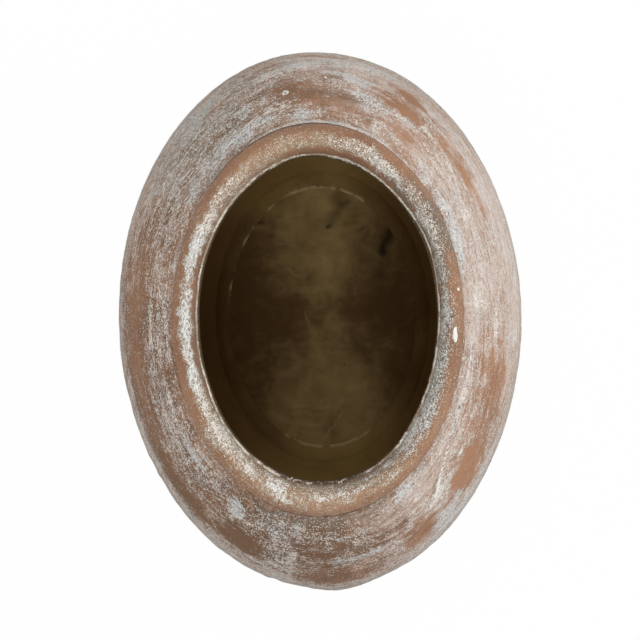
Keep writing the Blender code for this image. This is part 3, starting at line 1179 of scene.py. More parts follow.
@dataclass
class ShoulderWall(ClaySection):
    """The wall from the belly up to the neck, which carries most of the wash."""

    rows_outside: int = 98
    rows_at_crease: int = 12
    fine_height: float = 0.0032
    rows_inside: int = 10
    shelf_hole_reach: float = 0.08215
    shoulder_edge: float = 0.0075
    fillet: float = 0.0007
    fillet_wide: float = 0.0022
    fillet_down: float = 0.0020
    fillet_turn: float = 6.0
    fillet_spread: float = 36.0
    groove: float = 0.0009
    groove_wide: float = 0.0024
    still_at_crease: float = 0.006
    bristle_zones: tuple[Patch, ...] = (
        Patch(309, 17, 42, 24, 0.9, -20),
        Patch(326, 9, 40, 18, 0.7, 5),
        Patch(343, 14, 36, 22, 1.0, 18),
        Patch(291, 42, 60, 50, 0.7, -24),
        Patch(142, 15, 40, 24, 0.7, 14),
        Patch(52, 22, 60, 22, 0.5, -20),
    )

    def stretches(self) -> list[Stretch]:
        """Up the outside from the belly to the crease, over the shelf and down the inside to the lap.

        Returns:
            The runs of the outline, in order.
        """
        form = self.form
        seam = form.belly_height + form.slip / 2
        lap_reach = form.belly_reach - form.wall / 2
        lap_top = form.belly_height + form.slip + form.lap_height
        hole_low = form.shelf_height - self.shoulder_edge
        turn_in = form.shelf_height - self.fine_height
        sweep = form.upper_curve.between(seam, turn_in, self.rows_outside - self.rows_at_crease)
        at_crease = form.upper_curve.between(turn_in, form.shelf_height, self.rows_at_crease + 1)[1:]
        outside = np.concatenate([sweep, at_crease])
        inside_top = form.upper_curve.points(np.zeros(1), form.wall)[0, 1]
        inside = form.upper_curve.between(inside_top, lap_top, self.rows_inside, form.wall)
        hole = self.shelf_hole_reach
        return [
            Stretch(outside, Skin.WASHED, 1.0),
            Stretch(straight((hole, form.shelf_height), (hole, hole_low), 3), Skin.BARE),
            Stretch(inside, Skin.SEALED, 0.5),
            Stretch(straight((lap_reach, lap_top), (lap_reach, seam), 3), Skin.BARE),
        ]

    def down(self, grid: TurnedGrid) -> np.ndarray:
        """How far down the skin from the crease each row lies."""
        return grid.run[self.rows_outside - 1] - grid.run

    def work(self, grid: TurnedGrid) -> None:
        """Leaves the wheel's and the hands' marks, a groove at the crease and a bead along part of it.

        Args:
            grid: the section's surface.
        """
        down = self.down(grid)
        belly_down = float(grid.run[self.rows_outside - 1, 0])
        outside = grid.has(Skin.WASHED)
        depth = np.where(outside, HandWork().depth(grid, down, belly_down), 0.0)
        at_crease = arc_share(grid.turn, self.fillet_turn, self.fillet_spread)
        bead_place = (down - self.fillet_down) / (self.fillet_wide / 2)
        bead = self.fillet * at_crease * np.exp(-(bead_place**2))
        groove = self.groove * np.exp(-((down / (self.groove_wide / 2)) ** 2))
        depth = depth * smooth_step(0.0, self.still_at_crease, down)
        grid.push(depth + np.where(outside, bead - groove, 0.0))

    def mark(self, grid: TurnedGrid) -> None:
        """Lays the wash as it lies on this vase, with slanted bristle lines where the brush turned.

        Args:
            grid: the section's surface.
        """
        down = self.down(grid)
        self.wash().lay(grid, down)
        still = (np.zeros((1, 1)), np.zeros((1, 1)))
        for zone in self.bristle_zones:
            ahead = turn_gap(grid.turn, zone.turn) * grid.pace
            cos, sin = math.cos(math.radians(zone.lean)), math.sin(math.radians(zone.lean))
            share = zone.strength * replace(zone, lean=0.0).shape(grid, down, still)
            lines = np.stack([ahead * cos + down * sin, down * cos - ahead * sin, share], -1)
            before = np.broadcast_to(grid.fields["bristles"], lines.shape)
            grid.fields["bristles"] = np.where(share[..., None] > before[..., 2:], lines, before)

    def wash(self) -> WashCoat:
        """The wash on the shoulder, region by region round the mouth.

        Returns:
            The coat.
        """
        chalk, film, ash, rubbed = Coat.CHALK, Coat.FILM, Coat.ASH, Coat.RUBBED
        umber, dirt_and_shade, chip = Coat.UMBER, Coat.DIRT_AND_SHADE, Coat.CHIP
        rows = [
            # The far end: rows of bright wash with clean clay between them
            (13, 38, 27, 11, 0.80, -3, chalk),
            (4, 34, 2.4, 2.4, 0.9, 0, chip),
            (7, 53, 18, 8, 0.50, 0, chalk),
            (17, 55, 30, 4, 0.40, -2, chalk),
            (356, 50, 20, 10, 0.50, 0, chalk),
            (20, 21.5, 25, 12, 0.55, -6, chalk),
            (23.5, 10.5, 10, 14, 0.40),
            (33, 24.5, 18, 6, 0.55),
            (26, 15, 60, 28, 0.38, 0, film),
            (33, 15, 34, 22, 0.20, 0, rubbed),
            (11, 13, 34, 14, 0.30, 0, rubbed),
            (28, 40, 40, 24, 0.20, 0, rubbed),
            (0, 22, 60, 30, 0.36, 0, film),
            (2, 22, 64, 30, 0.22, 0, umber),
            (2, 20, 60, 16, 0.16, 0, umber),
            (2, 19, 34, 1.3, 0.42),
            (358, 23, 28, 1.2, 0.36),
            (6, 26.5, 24, 1.3, 0.36),
            (8, 54, 84, 40, 0.80, 0, film),
            (10, 63, 80, 12, 0.40, 0, chalk),
            (31, 31.5, 21, 10, 1.00, 0, rubbed),
            (31, 48, 21, 10, 0.90, 0, rubbed),
            (5, 19, 30, 17, 0.42, 0, rubbed),
            (35, 15.5, 15, 7, 0.45, 0, rubbed),
            (3, 66, 34, 8, 0.80, 0, rubbed),
            # The far right quarter: slanted streaks over a pale film
            (39, 31, 12, 3, 0.80, -8),
            (52, 26.5, 20, 4, 0.80, -21),
            (53, 38, 46, 14, 0.50, 0, rubbed),
            (63, 6.5, 42, 7.5, 0.85, 0, chalk),
            (63.5, 21, 7, 12, 0.60),
            (75, 15, 112, 36, 0.90, 0, film),
            (92, 7, 66, 10, 0.14, 0, rubbed),
            (72, 56, 150, 56, 0.95, 0, film),
            (91.5, 29.5, 17, 5, 0.75, -3),
            (84.5, 12.5, 17, 7, 0.50),
            (94, 62, 13, 14, 0.40),
            # The right flank: wide clean clay above the belly, wash towards the crease
            (106, 38, 46, 32, 0.60, 0, rubbed),
            (128, 38, 34, 34, 0.95, 0, rubbed),
            (110, 8.3, 44, 3.2, 0.70),
            (115, 8.3, 14, 3.6, 0.60, 0, chalk),
            (116, 8.3, 2.4, 2.4, 0.90, 0, dirt_and_shade),
            (114, 35.5, 8, 3.6, 0.75),
            (106, 8, 70, 14, 0.50, 0, film),
            # The near right quarter: a long bright scrape, and a nick at the edge
            (123.6, 8.8, 22, 1.2, 0.80, 5, chip),
            (128.6, 12.9, 12, 1.4, 0.80, 22, chip),
            (132.4, 16.0, 12, 1.6, 0.78, 26, chip),
            (135.8, 19.4, 11, 2.0, 0.74, 32, chip),
            (137.6, 22.4, 12, 3.2, 0.60, 33, chip),
            (139.2, 25.8, 12, 2.8, 0.56, 28, chip),
            (134, 26, 42, 14, 0.75, 26),
            # Painted shadow: a thin dark line under the scrape.
            (138.4, 20.0, 16, 1.5, 0.72, 34, dirt_and_shade),
            (125, 9.2, 15, 1.6, 0.70, -4),
            (138.6, 48.5, 24, 8.5, 0.48, 50, chip),
            (138.6, 50, 34, 16, 0.95, 50, chalk),
            (146.8, 6, 17, 7, 1.20, 8, chalk),
            (144.8, 15, 3, 13, 0.50),
            (138, 11, 76, 22, 0.62, 0, film),
            (139, 15, 50, 14, 0.24, 0, rubbed),
            (138.3, 26, 13, 6, 0.60, 31),
            (150, 23, 12, 5, 0.45, 30),
            (148, 42, 28, 24, 0.85, 0, rubbed),
            # The near end and the near left: mottled wash with brown showing through
            (169.5, 33.7, 40, 6, 0.50, 3, chalk),
            (167, 18.5, 12, 16, 0.30, 0, chalk),
            (157, 42, 24, 10, 0.35),
            (178, 18, 80, 46, 0.24, 0, rubbed),
            (185, 22, 90, 56, 0.62, 0, umber),
            (176, 20, 66, 40, 0.16, 0, film),
            (180, 5, 90, 9, 0.34, 0, ash),
            (182, 24, 64, 18, 0.24, 0, umber),
            (222, 26, 46, 16, 0.22, 0, rubbed),
            (176, 56, 44, 24, 0.46, 0, rubbed),
            (181, 28, 20, 6, 0.26, 0, rubbed),
            (180, 12, 44, 18, 0.16),
            (194.5, 38, 19, 84, 0.24),
            (191, 44, 8, 44, 0.26),
            (196, 15, 24, 20, 0.22, 0, chalk),
            (194, 30, 24, 76, 0.40, 0, umber),
            (200.5, 53, 32, 3.5, 0.50, -19),
            (208, 38, 27, 22, 1.10, 0, rubbed),
            (208, 38, 28, 23, 0.90, 0, umber),
            (229, 46, 54, 20, 0.58, 0, rubbed),
            (248, 24, 130, 24, 0.14),
            (240, 4, 130, 8, 0.20, 0, rubbed),
            (229, 46, 56, 22, 0.40, 0, umber),
            (246, 52, 50, 20, 0.26, 0, rubbed),
            (213, 16, 12, 11, 0.80, 0, chalk),
            # The left flank: brown clay with small dashes, and paler wash towards the crease
            (232.3, 14.5, 16, 14, 0.45, 6, chalk),
            (241, 15, 50, 2.4, 0.50),
            (242, 22, 48, 2.4, 0.45),
            (256.3, 18, 4.4, 24, 0.30, 0, rubbed),
            (272, 21.2, 56, 3, 0.40),
            (272, 14.3, 56, 3, 0.30),
            (272, 7.5, 56, 3, 0.30),
            (268, 38, 110, 42, 0.40, 0, rubbed),
            (270, 22, 60, 28, 0.12),
            # The far left quarter, up to the far end: broad grey-blue wash at the edge and at the crease
            (322, 9, 76, 15, 0.26, 0, chalk),
            (307, 9.5, 13, 8, 0.40, 0, chalk),
            (321.5, 9.5, 17, 8, 0.35, 0, chalk),
            (335.5, 9, 22, 8, 0.40, 0, chalk),
            (322, 9, 74, 17, 0.75, 0, ash),
            (335.5, 22.6, 13, 8, 0.50, 15, chalk),
            (318, 44, 90, 74, 0.62, 0, ash),
            (322, 34, 60, 24, 0.30, 0, umber),
            (320, 55, 62, 34, 0.25, 0, chalk),
            (318, 34, 84, 30, 0.10),
            (320, 17, 90, 12, 0.22, 0, rubbed),
            (322, 4, 150, 8, 0.13, 0, rubbed),
            (351, 46, 46, 12, 0.40),
            (357, 7.5, 20, 8, 0.50, 0, chalk),
            (354, 21, 26, 20, 0.40, 0, rubbed),
            (352, 27, 20, 12, 0.34, 0, rubbed),
            (355, 17, 24, 1.6, 0.60),
            (350.8, 23.3, 4.4, 4.4, 1.0, 0, chip),
            (350.8, 23.3, 2.0, 1.8, 0.9, 0, dirt_and_shade),
            # Broad areas: clay that fired darker at the left, the near side and the far left, a film at the
            # near right, and a trace of wash at the far left; the darker clay is partly painted shade on the
            # side away from the light, and the film partly painted light on the side towards it
            (246, 48, 330, 80, 0.50, 0, umber),
            (250, 60, 190, 24, 0.35, 0, umber),
            (140, 34, 70, 60, 0.45, 0, film),
            (240, 18, 290, 36, 0.42, 0, umber),
            (170, 58, 90, 30, 0.35, 0, umber),
            (345, 30, 110, 60, 0.30, 0, umber),
            (310, 40, 160, 70, 0.05),
            # All round: grey where the wall turns down, partly wash and partly a painted sheen along the
            # outline, with wash above it at the left and the near side, then a pale line along the far
            # crease, and painted shade in the crease all round
            (180, 90, 1600, 42, 1.25, 0, ash),
            (225, 66, 260, 20, 0.30),
            (132, 68, 110, 16, 0.45, 0, chalk),
            (8, 2.0, 100, 3.2, 1.20, 0, film),
            (8, 1.8, 100, 2.3, 1.50),
            (188, 0.0, 130, 1.8, 1.40, 0, dirt_and_shade),
            (345, 0.0, 120, 1.6, 1.20, 0, dirt_and_shade),
            (180, 0.0, 1600, 2.0, 0.55, 0, dirt_and_shade),
        ]
        patches = [Patch(*row) for row in rows]
        patches += hatch(Patch(311.5, 18.5, 15, 1.8, 0.45, -20), 5, 3.4)
        patches += hatch(Patch(343, 13.5, 14, 1.8, 0.55, 18), 4, 3.6)
        return WashCoat(patches, base=0.46, strokes=170, stroke_band=(2.0, 112.0), seed=3)


@dataclass
class LowerWall(ClaySection):
    """The wall from the slab up to the belly, which the camera sees only from inside."""

    rows_outside: int = 78
    rows_inside: int = 26
    shoulder_long: float = 0.1137
    inner_rings: float = 0.0004

    def stretches(self) -> list[Stretch]:
        """Up the outside from the slab to the belly, over the lap's tongue and down the inside.

        Returns:
            The runs of the outline, in order.
        """
        form = self.form
        foot = form.slab_edge
        seam = form.belly_height + form.slip / 2
        tongue = form.belly_height + form.lap_height
        lap_reach = form.belly_reach - (form.wall + form.slip) / 2
        outside = form.lower_curve.between(foot, form.belly_height, self.rows_outside)
        outside[-1, 1] = seam
        inner_top = float(form.upper_curve.between(tongue, tongue, 1, form.wall)[0, 0])
        inside = form.lower_curve.between(form.belly_height, foot, self.rows_inside, form.wall)
        return [
            Stretch(outside, Skin.WASHED, 1.0),
            Stretch(straight((lap_reach, seam), (lap_reach, tongue), 3), Skin.BARE),
            Stretch(np.concatenate([[(inner_top, tongue)], inside]), Skin.SEALED, 0.5),
        ]

    def down(self, grid: TurnedGrid) -> np.ndarray:
        """How far down the skin from the crease each row lies."""
        return self.shoulder_long + grid.run[self.rows_outside - 1] - grid.run

    def work(self, grid: TurnedGrid) -> None:
        """Leaves the same marks as on the shoulder, so that the luted seam hardly shows.

        Args:
            grid: the section's surface.
        """
        down = self.down(grid)
        outside = grid.has(Skin.WASHED)
        depth = HandWork().depth(grid, down, self.shoulder_long)
        inner = ClayNoise(23).at(grid.wrapped(grid.run), (0.05, 0.05, 0.011)) * self.inner_rings
        grid.push(np.where(outside, depth, inner))

    def mark(self, grid: TurnedGrid) -> None:
        """Lays a wash that the brush dragged round the wall, thin at the foot.

        Args:
            grid: the section's surface.
        """
        film, ash, rubbed, umber = Coat.FILM, Coat.ASH, Coat.RUBBED, Coat.UMBER
        rows = [
            (270, 122, 420, 30, 0.40, 0, ash),
            (30, 124, 330, 34, 0.35, 0, film),
            (60, 150, 90, 16, 0.35, -4),
            (20, 176, 70, 18, 0.40, 0, rubbed),
            (110, 184, 80, 14, 0.35, 3),
            (150, 150, 70, 26, 0.40, 0, rubbed),
            (200, 168, 90, 18, 0.38, -3),
            (232, 196, 60, 22, 0.40, 0, umber),
            (245, 150, 50, 20, 0.35, 0, rubbed),
            (290, 178, 90, 16, 0.38, 4),
            (322, 154, 50, 22, 0.42, 0, rubbed),
            (340, 204, 90, 12, 0.30),
            (180, 214, 120, 10, 0.35),
            (70, 222, 80, 12, 0.35, 0, rubbed),
        ]
        patches = [Patch(*row) for row in rows]
        coat = WashCoat(patches, base=0.36, strokes=190, stroke_band=(116.0, 250.0), seed=4)
        coat.lay(grid, self.down(grid))


@dataclass(frozen=True)
class MouthEdge:
    """How unevenly the mouth was wiped, the same for the rim and for the collar inside it."""

    swells: tuple[Swell, ...] = (
        Swell(18.0, 16.0, 0.3),
        Swell(66.0, 15.0, -1.6),
        Swell(120.0, 22.0, 0.9),
        Swell(180.0, 28.0, 0.9),
        Swell(229.0, 14.0, -0.4),
        Swell(276.0, 28.0, -0.6),
        Swell(332.0, 18.0, 0.5),
    )
    wobble: float = 0.00025
    crumb_turns: tuple[tuple[float, float], ...] = ((20.0, 13.0), (120.0, 24.0), (190.0, 30.0), (332.0, 18.0))

    def inward(self, grid: TurnedGrid) -> np.ndarray:
        """How far in the edge lies from its oval at each turn, in metres."""
        noise = ClayNoise(81).at(grid.wrapped(np.zeros((1, 1)), 0.07), 0.012)
        return self.wobble * noise + sum(swell.depth(grid.turn) for swell in self.swells)

    def crumbly(self, grid: TurnedGrid) -> np.ndarray:
        """Where the edge is left crumbly, from 0 to 1."""
        arcs = (arc_share(grid.turn, turn, half, 6) for turn, half in self.crumb_turns)
        return np.clip(sum(arcs), 0.0, 1.0)


@dataclass
class RolledRim(ClaySection):
    """The fat coil round the mouth, seated over the collar."""

    rows_outer: int = 26
    rows_inner: int = 22
    seat_rise: float = 0.0035
    set_back: float = 0.0010
    wobble: float = 0.00030
    dimples: float = 0.00010
    crumbs: float = 0.00022
    crumbs_inset: tuple[float, float] = (0.0120, 0.0145)
    edge_inset: tuple[float, float] = (0.0080, 0.0145)
    flank_wide: float = 0.0070
    flank_swells: tuple[Swell, ...] = (Swell(255.0, 42.0, 0.9), Swell(72.0, 36.0, 0.7))

    def stretches(self) -> list[Stretch]:
        """Up the outer roll to the crest and down the inner one to the collar.

        Returns:
            The runs of the outline, in order.
        """
        form = self.form
        inner_reach = form.mouth_reach + self.set_back
        crest = (inner_reach + form.rim_outer_reach) / 2
        half = form.rim_outer_reach - crest
        widest = form.collar_seat + self.seat_rise
        collar_top = form.collar_top
        rebate = form.collar_reach + form.slip
        outer = oval_arc((crest, widest), (half, form.rim_top - widest), 0, 90, self.rows_outer)
        inner = oval_arc((crest, collar_top), (half, form.rim_top - collar_top), 90, 180, self.rows_inner)[1:]
        foot = straight((form.crease_reach, form.shelf_height), (form.rim_outer_reach, widest), 5)[:-1]
        return [
            Stretch(straight((rebate, collar_top), (rebate, form.shelf_height), 3), Skin.BARE),
            Stretch(np.concatenate([foot, outer, inner]), Skin.WASHED, 1.0),
        ]

    def inset(self, grid: TurnedGrid) -> np.ndarray:
        """How far in from the rim's outer edge each row lies."""
        return (self.form.rim_outer_reach - grid.reach)[:, None]

    def work(self, grid: TurnedGrid) -> None:
        """Leaves the roll a little uneven, and its inner edge crumbly.

        Args:
            grid: the section's surface.
        """
        noise = ClayNoise(31)
        wrapped = grid.wrapped(grid.run, 0.075)
        inset = self.inset(grid)
        crumbs = self.crumbs * noise.rough(wrapped + 3.0, 0.0016, 2) * smooth_step(*self.crumbs_inset, inset)
        depth = (
            self.wobble * noise.at(wrapped, (0.026, 0.026, 0.012))
            + self.dimples * noise.rough(wrapped + 1.0, 0.0030, 2)
            + crumbs
        )
        grid.push(depth)
        flank = sum(swell.depth(grid.turn) for swell in self.flank_swells)
        flank = flank * smooth_step(self.flank_wide, 0.0, inset)
        grid.draw_in(MouthEdge().inward(grid) * smooth_step(*self.edge_inset, inset) - flank)

    def mark(self, grid: TurnedGrid) -> None:
        """Speckles the crest with wash, thickest at the left, and leaves most of both flanks clean.

        Args:
            grid: the section's surface.
        """
        chalk, film, umber, chip = Coat.CHALK, Coat.FILM, Coat.UMBER, Coat.CHIP
        rubbed, dirt_and_shade = Coat.RUBBED, Coat.DIRT_AND_SHADE
        rows = [
            # The far end and the far right: dense specks, then sparser ones
            (26, 8.8, 46, 12, 1.15),
            (35, 8.6, 26, 8, 0.45),
            (57, 9.0, 54, 13, 1.10),
            (76, 11.8, 60, 6, 0.70),
            (84, 8.8, 34, 8, 0.45),
            (8, 13.2, 52, 4, 0.80, 0, rubbed),
            (82, 2.6, 2.0, 2.0, 1.0, 0, chip),
            # The right: a long chip of thick wash, then grey-white down to the lip
            (96.3, 5.2, 12, 3.4, 1.0, 0, chip),
            (114, 12.0, 104, 12, 1.05, 0, chalk),
            (126, 10.6, 44, 9, 0.25, 0, chalk),
            # The near end: thin, with a few bright places
            (149, 6.4, 16, 3.0, 1.00),
            (159, 9.6, 46, 15, 0.22),
            (165, 9.7, 20, 2.8, 0.80),
            (184, 9.6, 46, 11, 0.50),
            (182, 9.8, 14, 2.6, 0.70),
            (196.5, 6.0, 15, 4.6, 1.00),
            (201.5, 9.5, 11, 5.5, 0.95, 0, chalk),
            (202, 12.8, 18, 2.4, 1.00),
            (207, 9.7, 34, 14, 0.55),
            (213, 9.7, 8, 4.0, 0.90),
            # The left and the far left: the thickest wash, on the crest alone
            (229, 9.4, 46, 12, 1.15),
            (234, 9.6, 30, 3.0, 0.80),
            (247, 9.4, 30, 8.5, 1.10),
            (255, 9.0, 16, 9.0, 0.80, 0, chalk),
            (271, 8.2, 62, 10.5, 1.90, 0, chalk),
            (297, 8.8, 34, 10.5, 1.45),
            (315, 10.0, 34, 12, 0.78),
            (345, 10.0, 60, 12, 0.38),
            (272, 13.8, 66, 5, 0.85, 0, rubbed),
            # Tan dust on the crest, darker and rubbed clay on the flanks, and some wash on the near lip
            (190, 10.5, 150, 16, 0.58, 0, film),
            (180, 12.0, 60, 10, 0.30, 0, umber),
            (340, 10.5, 130, 15, 0.62, 0, film),
            (60, 7.5, 80, 24, 0.68, 0, umber),
            (6, 3.0, 60, 8, 0.20, 0, umber),
            (58, 3.0, 34, 8, 0.30, 0, umber),
            (34, 3.2, 90, 5, 0.45, 0, rubbed),
            (46, 13.4, 44, 4, 0.75, 0, rubbed),
            (135, 13.4, 40, 4, 0.60),
            (226, 13.2, 40, 4, 0.64),
            (262, 3.0, 70, 6, 0.55, 0, rubbed),
            (318, 3.4, 80, 7, 0.34, 0, rubbed),
            (318, 3.0, 80, 8, 0.24, 0, umber),
            (110, 12.5, 150, 12, 0.80, 0, umber),
            (250, 13.6, 220, 6, 0.55, 0, umber),
            # Painted shade in the crease, which darkens the roll's outer edge
            (180, 0.0, 1600, 1.5, 0.45, 0, dirt_and_shade),
            (184, 0.0, 96, 2.6, 0.95, 0, dirt_and_shade),
            (338, 0.0, 120, 2.2, 0.62, 0, dirt_and_shade),
        ]
        patches = [Patch(*row) for row in rows]
        inset = self.inset(grid)
        coat = WashCoat(
            patches, base=0.02, strokes=70, stroke_band=(3.5, 13.0), seed=5,
            stroke_long=(3.0, 12.0), stroke_wide=(0.8, 2.2), mottle=0.12, contrast=1.0, fullest=2.6,
        )
        coat.lay(grid, inset)
        grid.fields["turned"] = grid.wrapped(grid.run, 0.075)

    def washed(self) -> WashedClay:
        """A finer and creamier wash than on the shoulder.

        Returns:
            The finish.
        """
        return WashedClay(
            self.node + "_wash",
            clay=(0.336, 0.166, 0.088),
            deep_clay=(0.250, 0.118, 0.062),
            umber=(0.165, 0.125, 0.090),
            cream=(0.880, 0.840, 0.760),
            chalk=(0.800, 0.808, 0.775),
            film=(0.410, 0.305, 0.200),
            speck=0.00052,
            lump=0.0012,
            wash_weight=0.135,
            drag_long=0.0016,
            drag_wide=0.0006,
            streak_long=0.0060,
            streak_wide=0.0012,
            clump=0.0028,
            speck_share=0.98,
            lump_share=0.10,
            drag_share=0.20,
            streak_share=0.08,
            softness=0.010,
            pitted=0.678,
        )


@dataclass
class NeckCollar(ClaySection):
    """The band that lines the mouth, of which a crumbly pale lip shows inside the rim."""

    rows_lip: int = 12
    rows_bore: int = 14
    spigot_thick: float = 0.003
    spigot_depth: float = 0.005
    softening: float = 0.0012
    wiped_arcs: tuple[tuple[float, float, float], ...] = (
        (75.0, 7.0, 1.0),
        (180.0, 24.0, 0.7),
        (0.0, 5.0, 0.8),
    )
    dirty_arc: tuple[float, float] = (184.0, 34.0)
    worked_heights: tuple[float, float] = (0.229, 0.232)
    lip_rough: float = 0.00009
    lip_crumbs: float = 0.00026
    line_fades: tuple[float, float] = (0.0004, 0.0016)
    crumbs_fade: tuple[float, float] = (0.0085, 0.0040)
    coat_starts: tuple[float, float] = (0.0008, 0.0018)

    def stretches(self) -> list[Stretch]:
        """Round the spigot and the band, over the lip and down the bore.

        Returns:
            The runs of the outline, in order.
        """
        form = self.form
        seat, top = form.collar_seat, form.collar_top
        spigot = form.mouth_reach + self.spigot_thick
        low = seat - self.spigot_depth
        lip_centre = (form.mouth_reach + self.softening, top - self.softening)
        lip = oval_arc(lip_centre, (self.softening, self.softening), 90, 180, self.rows_lip)
        bore = straight((form.mouth_reach, top - self.softening), (form.mouth_reach, low), self.rows_bore)[1:]
        return [
            Stretch(straight((spigot, low), (spigot, seat), 3), Skin.BARE),
            Stretch(straight((form.collar_reach, seat), (form.collar_reach, top), 3), Skin.BARE),
            Stretch(np.concatenate([lip, bore]), Skin.WASHED, 1.0),
        ]

    def work(self, grid: TurnedGrid) -> None:
        """Roughens the lip.

        Args:
            grid: the section's surface.
        """
        noise = ClayNoise(41)
        wrapped = grid.wrapped(grid.run, 0.07)
        edge = MouthEdge()
        above = smooth_step(*self.worked_heights, grid.height)[:, None]
        grid.draw_in(edge.inward(grid) * above)
        crumbs = self.lip_rough + self.lip_crumbs * edge.crumbly(grid)
        grid.push(crumbs * noise.rough(wrapped, 0.0015, 2) * above)

    def mark(self, grid: TurnedGrid) -> None:
        """Leaves wash on the lip and the dark coat below it.

        Args:
            grid: the section's surface.
        """
        noise = ClayNoise(42)
        wrapped = grid.wrapped(grid.run, 0.07)
        crumbly = MouthEdge().crumbly(grid)
        depth = self.form.collar_top - grid.height[:, None] + 0.0004 * noise.rough(wrapped, 0.005)
        fades, gone = self.line_fades
        line = 1.0 - smooth_step(fades, gone + 0.0008 * crumbly, depth)
        wiped = sum(share * arc_share(grid.turn, turn, spread) for turn, spread, share in self.wiped_arcs)
        gaps = 1.35 * noise.rough(wrapped + 1.0, 0.006)
        crumbs = crumbly * np.clip(0.5 + 2.0 * noise.rough(wrapped + 2.0, 0.0030), 0.0, 1.7)
        crumbs = crumbs * smooth_step(*self.crumbs_fade, depth)
        grid.fields["wash"] = np.maximum(line * (1.2 + gaps) * (1.0 - wiped), crumbs) - 0.2
        dirty = arc_share(grid.turn, *self.dirty_arc)
        grid.fields["umber"] = np.maximum(smooth_step(*self.coat_starts, depth), 0.9 * dirty)
        grid.fields["turned"] = wrapped

    def washed(self) -> WashedClay:
        """A wash on the lip that thins out over the dark coat in the bore.

        Returns:
            The finish.
        """
        return WashedClay(
            self.node + "_wash",
            clay=(0.400, 0.310, 0.210),
            deep_clay=(0.300, 0.225, 0.145),
            umber=(0.070, 0.040, 0.018),
            cream=(0.800, 0.730, 0.610),
            chalk=(0.720, 0.680, 0.590),
            film=(0.450, 0.360, 0.250),
            haze=0.16,
            speck=0.00060,
            drag_long=0.0022,
            streak_long=0.0060,
            clump=0.0030,
        )


class Mark(Enum):
    """What has happened to a place on the sealed floor."""

    SCUFF = "scuff"
    STAIN = "stain"


@dataclass(frozen=True)
class FloorMark:
    """A soft line or spot on the floor inside, in millimetres from its middle: along +X and towards -Y."""

    start: tuple[float, float]
    end: tuple[float, float]
    wide: float
    strength: float
    kind: Mark = Mark.SCUFF

    def shape(self, along: np.ndarray, aside: np.ndarray) -> np.ndarray:
        """How strongly the mark lies on each point.

        Args:
            along: where the points lie along +X, in millimetres.
            aside: where they lie towards -Y.

        Returns:
            Shares from 0 to the mark's strength.
        """
        run = (self.end[0] - self.start[0], self.end[1] - self.start[1])
        long = max(run[0] ** 2 + run[1] ** 2, 1e-9)
        share = ((along - self.start[0]) * run[0] + (aside - self.start[1]) * run[1]) / long
        share = np.clip(share, 0.0, 1.0)
        gap = np.hypot(along - self.start[0] - share * run[0], aside - self.start[1] - share * run[1])
        return self.strength * (1.0 - smooth_step(0.0, 1.0, gap / (self.wide / 2)))


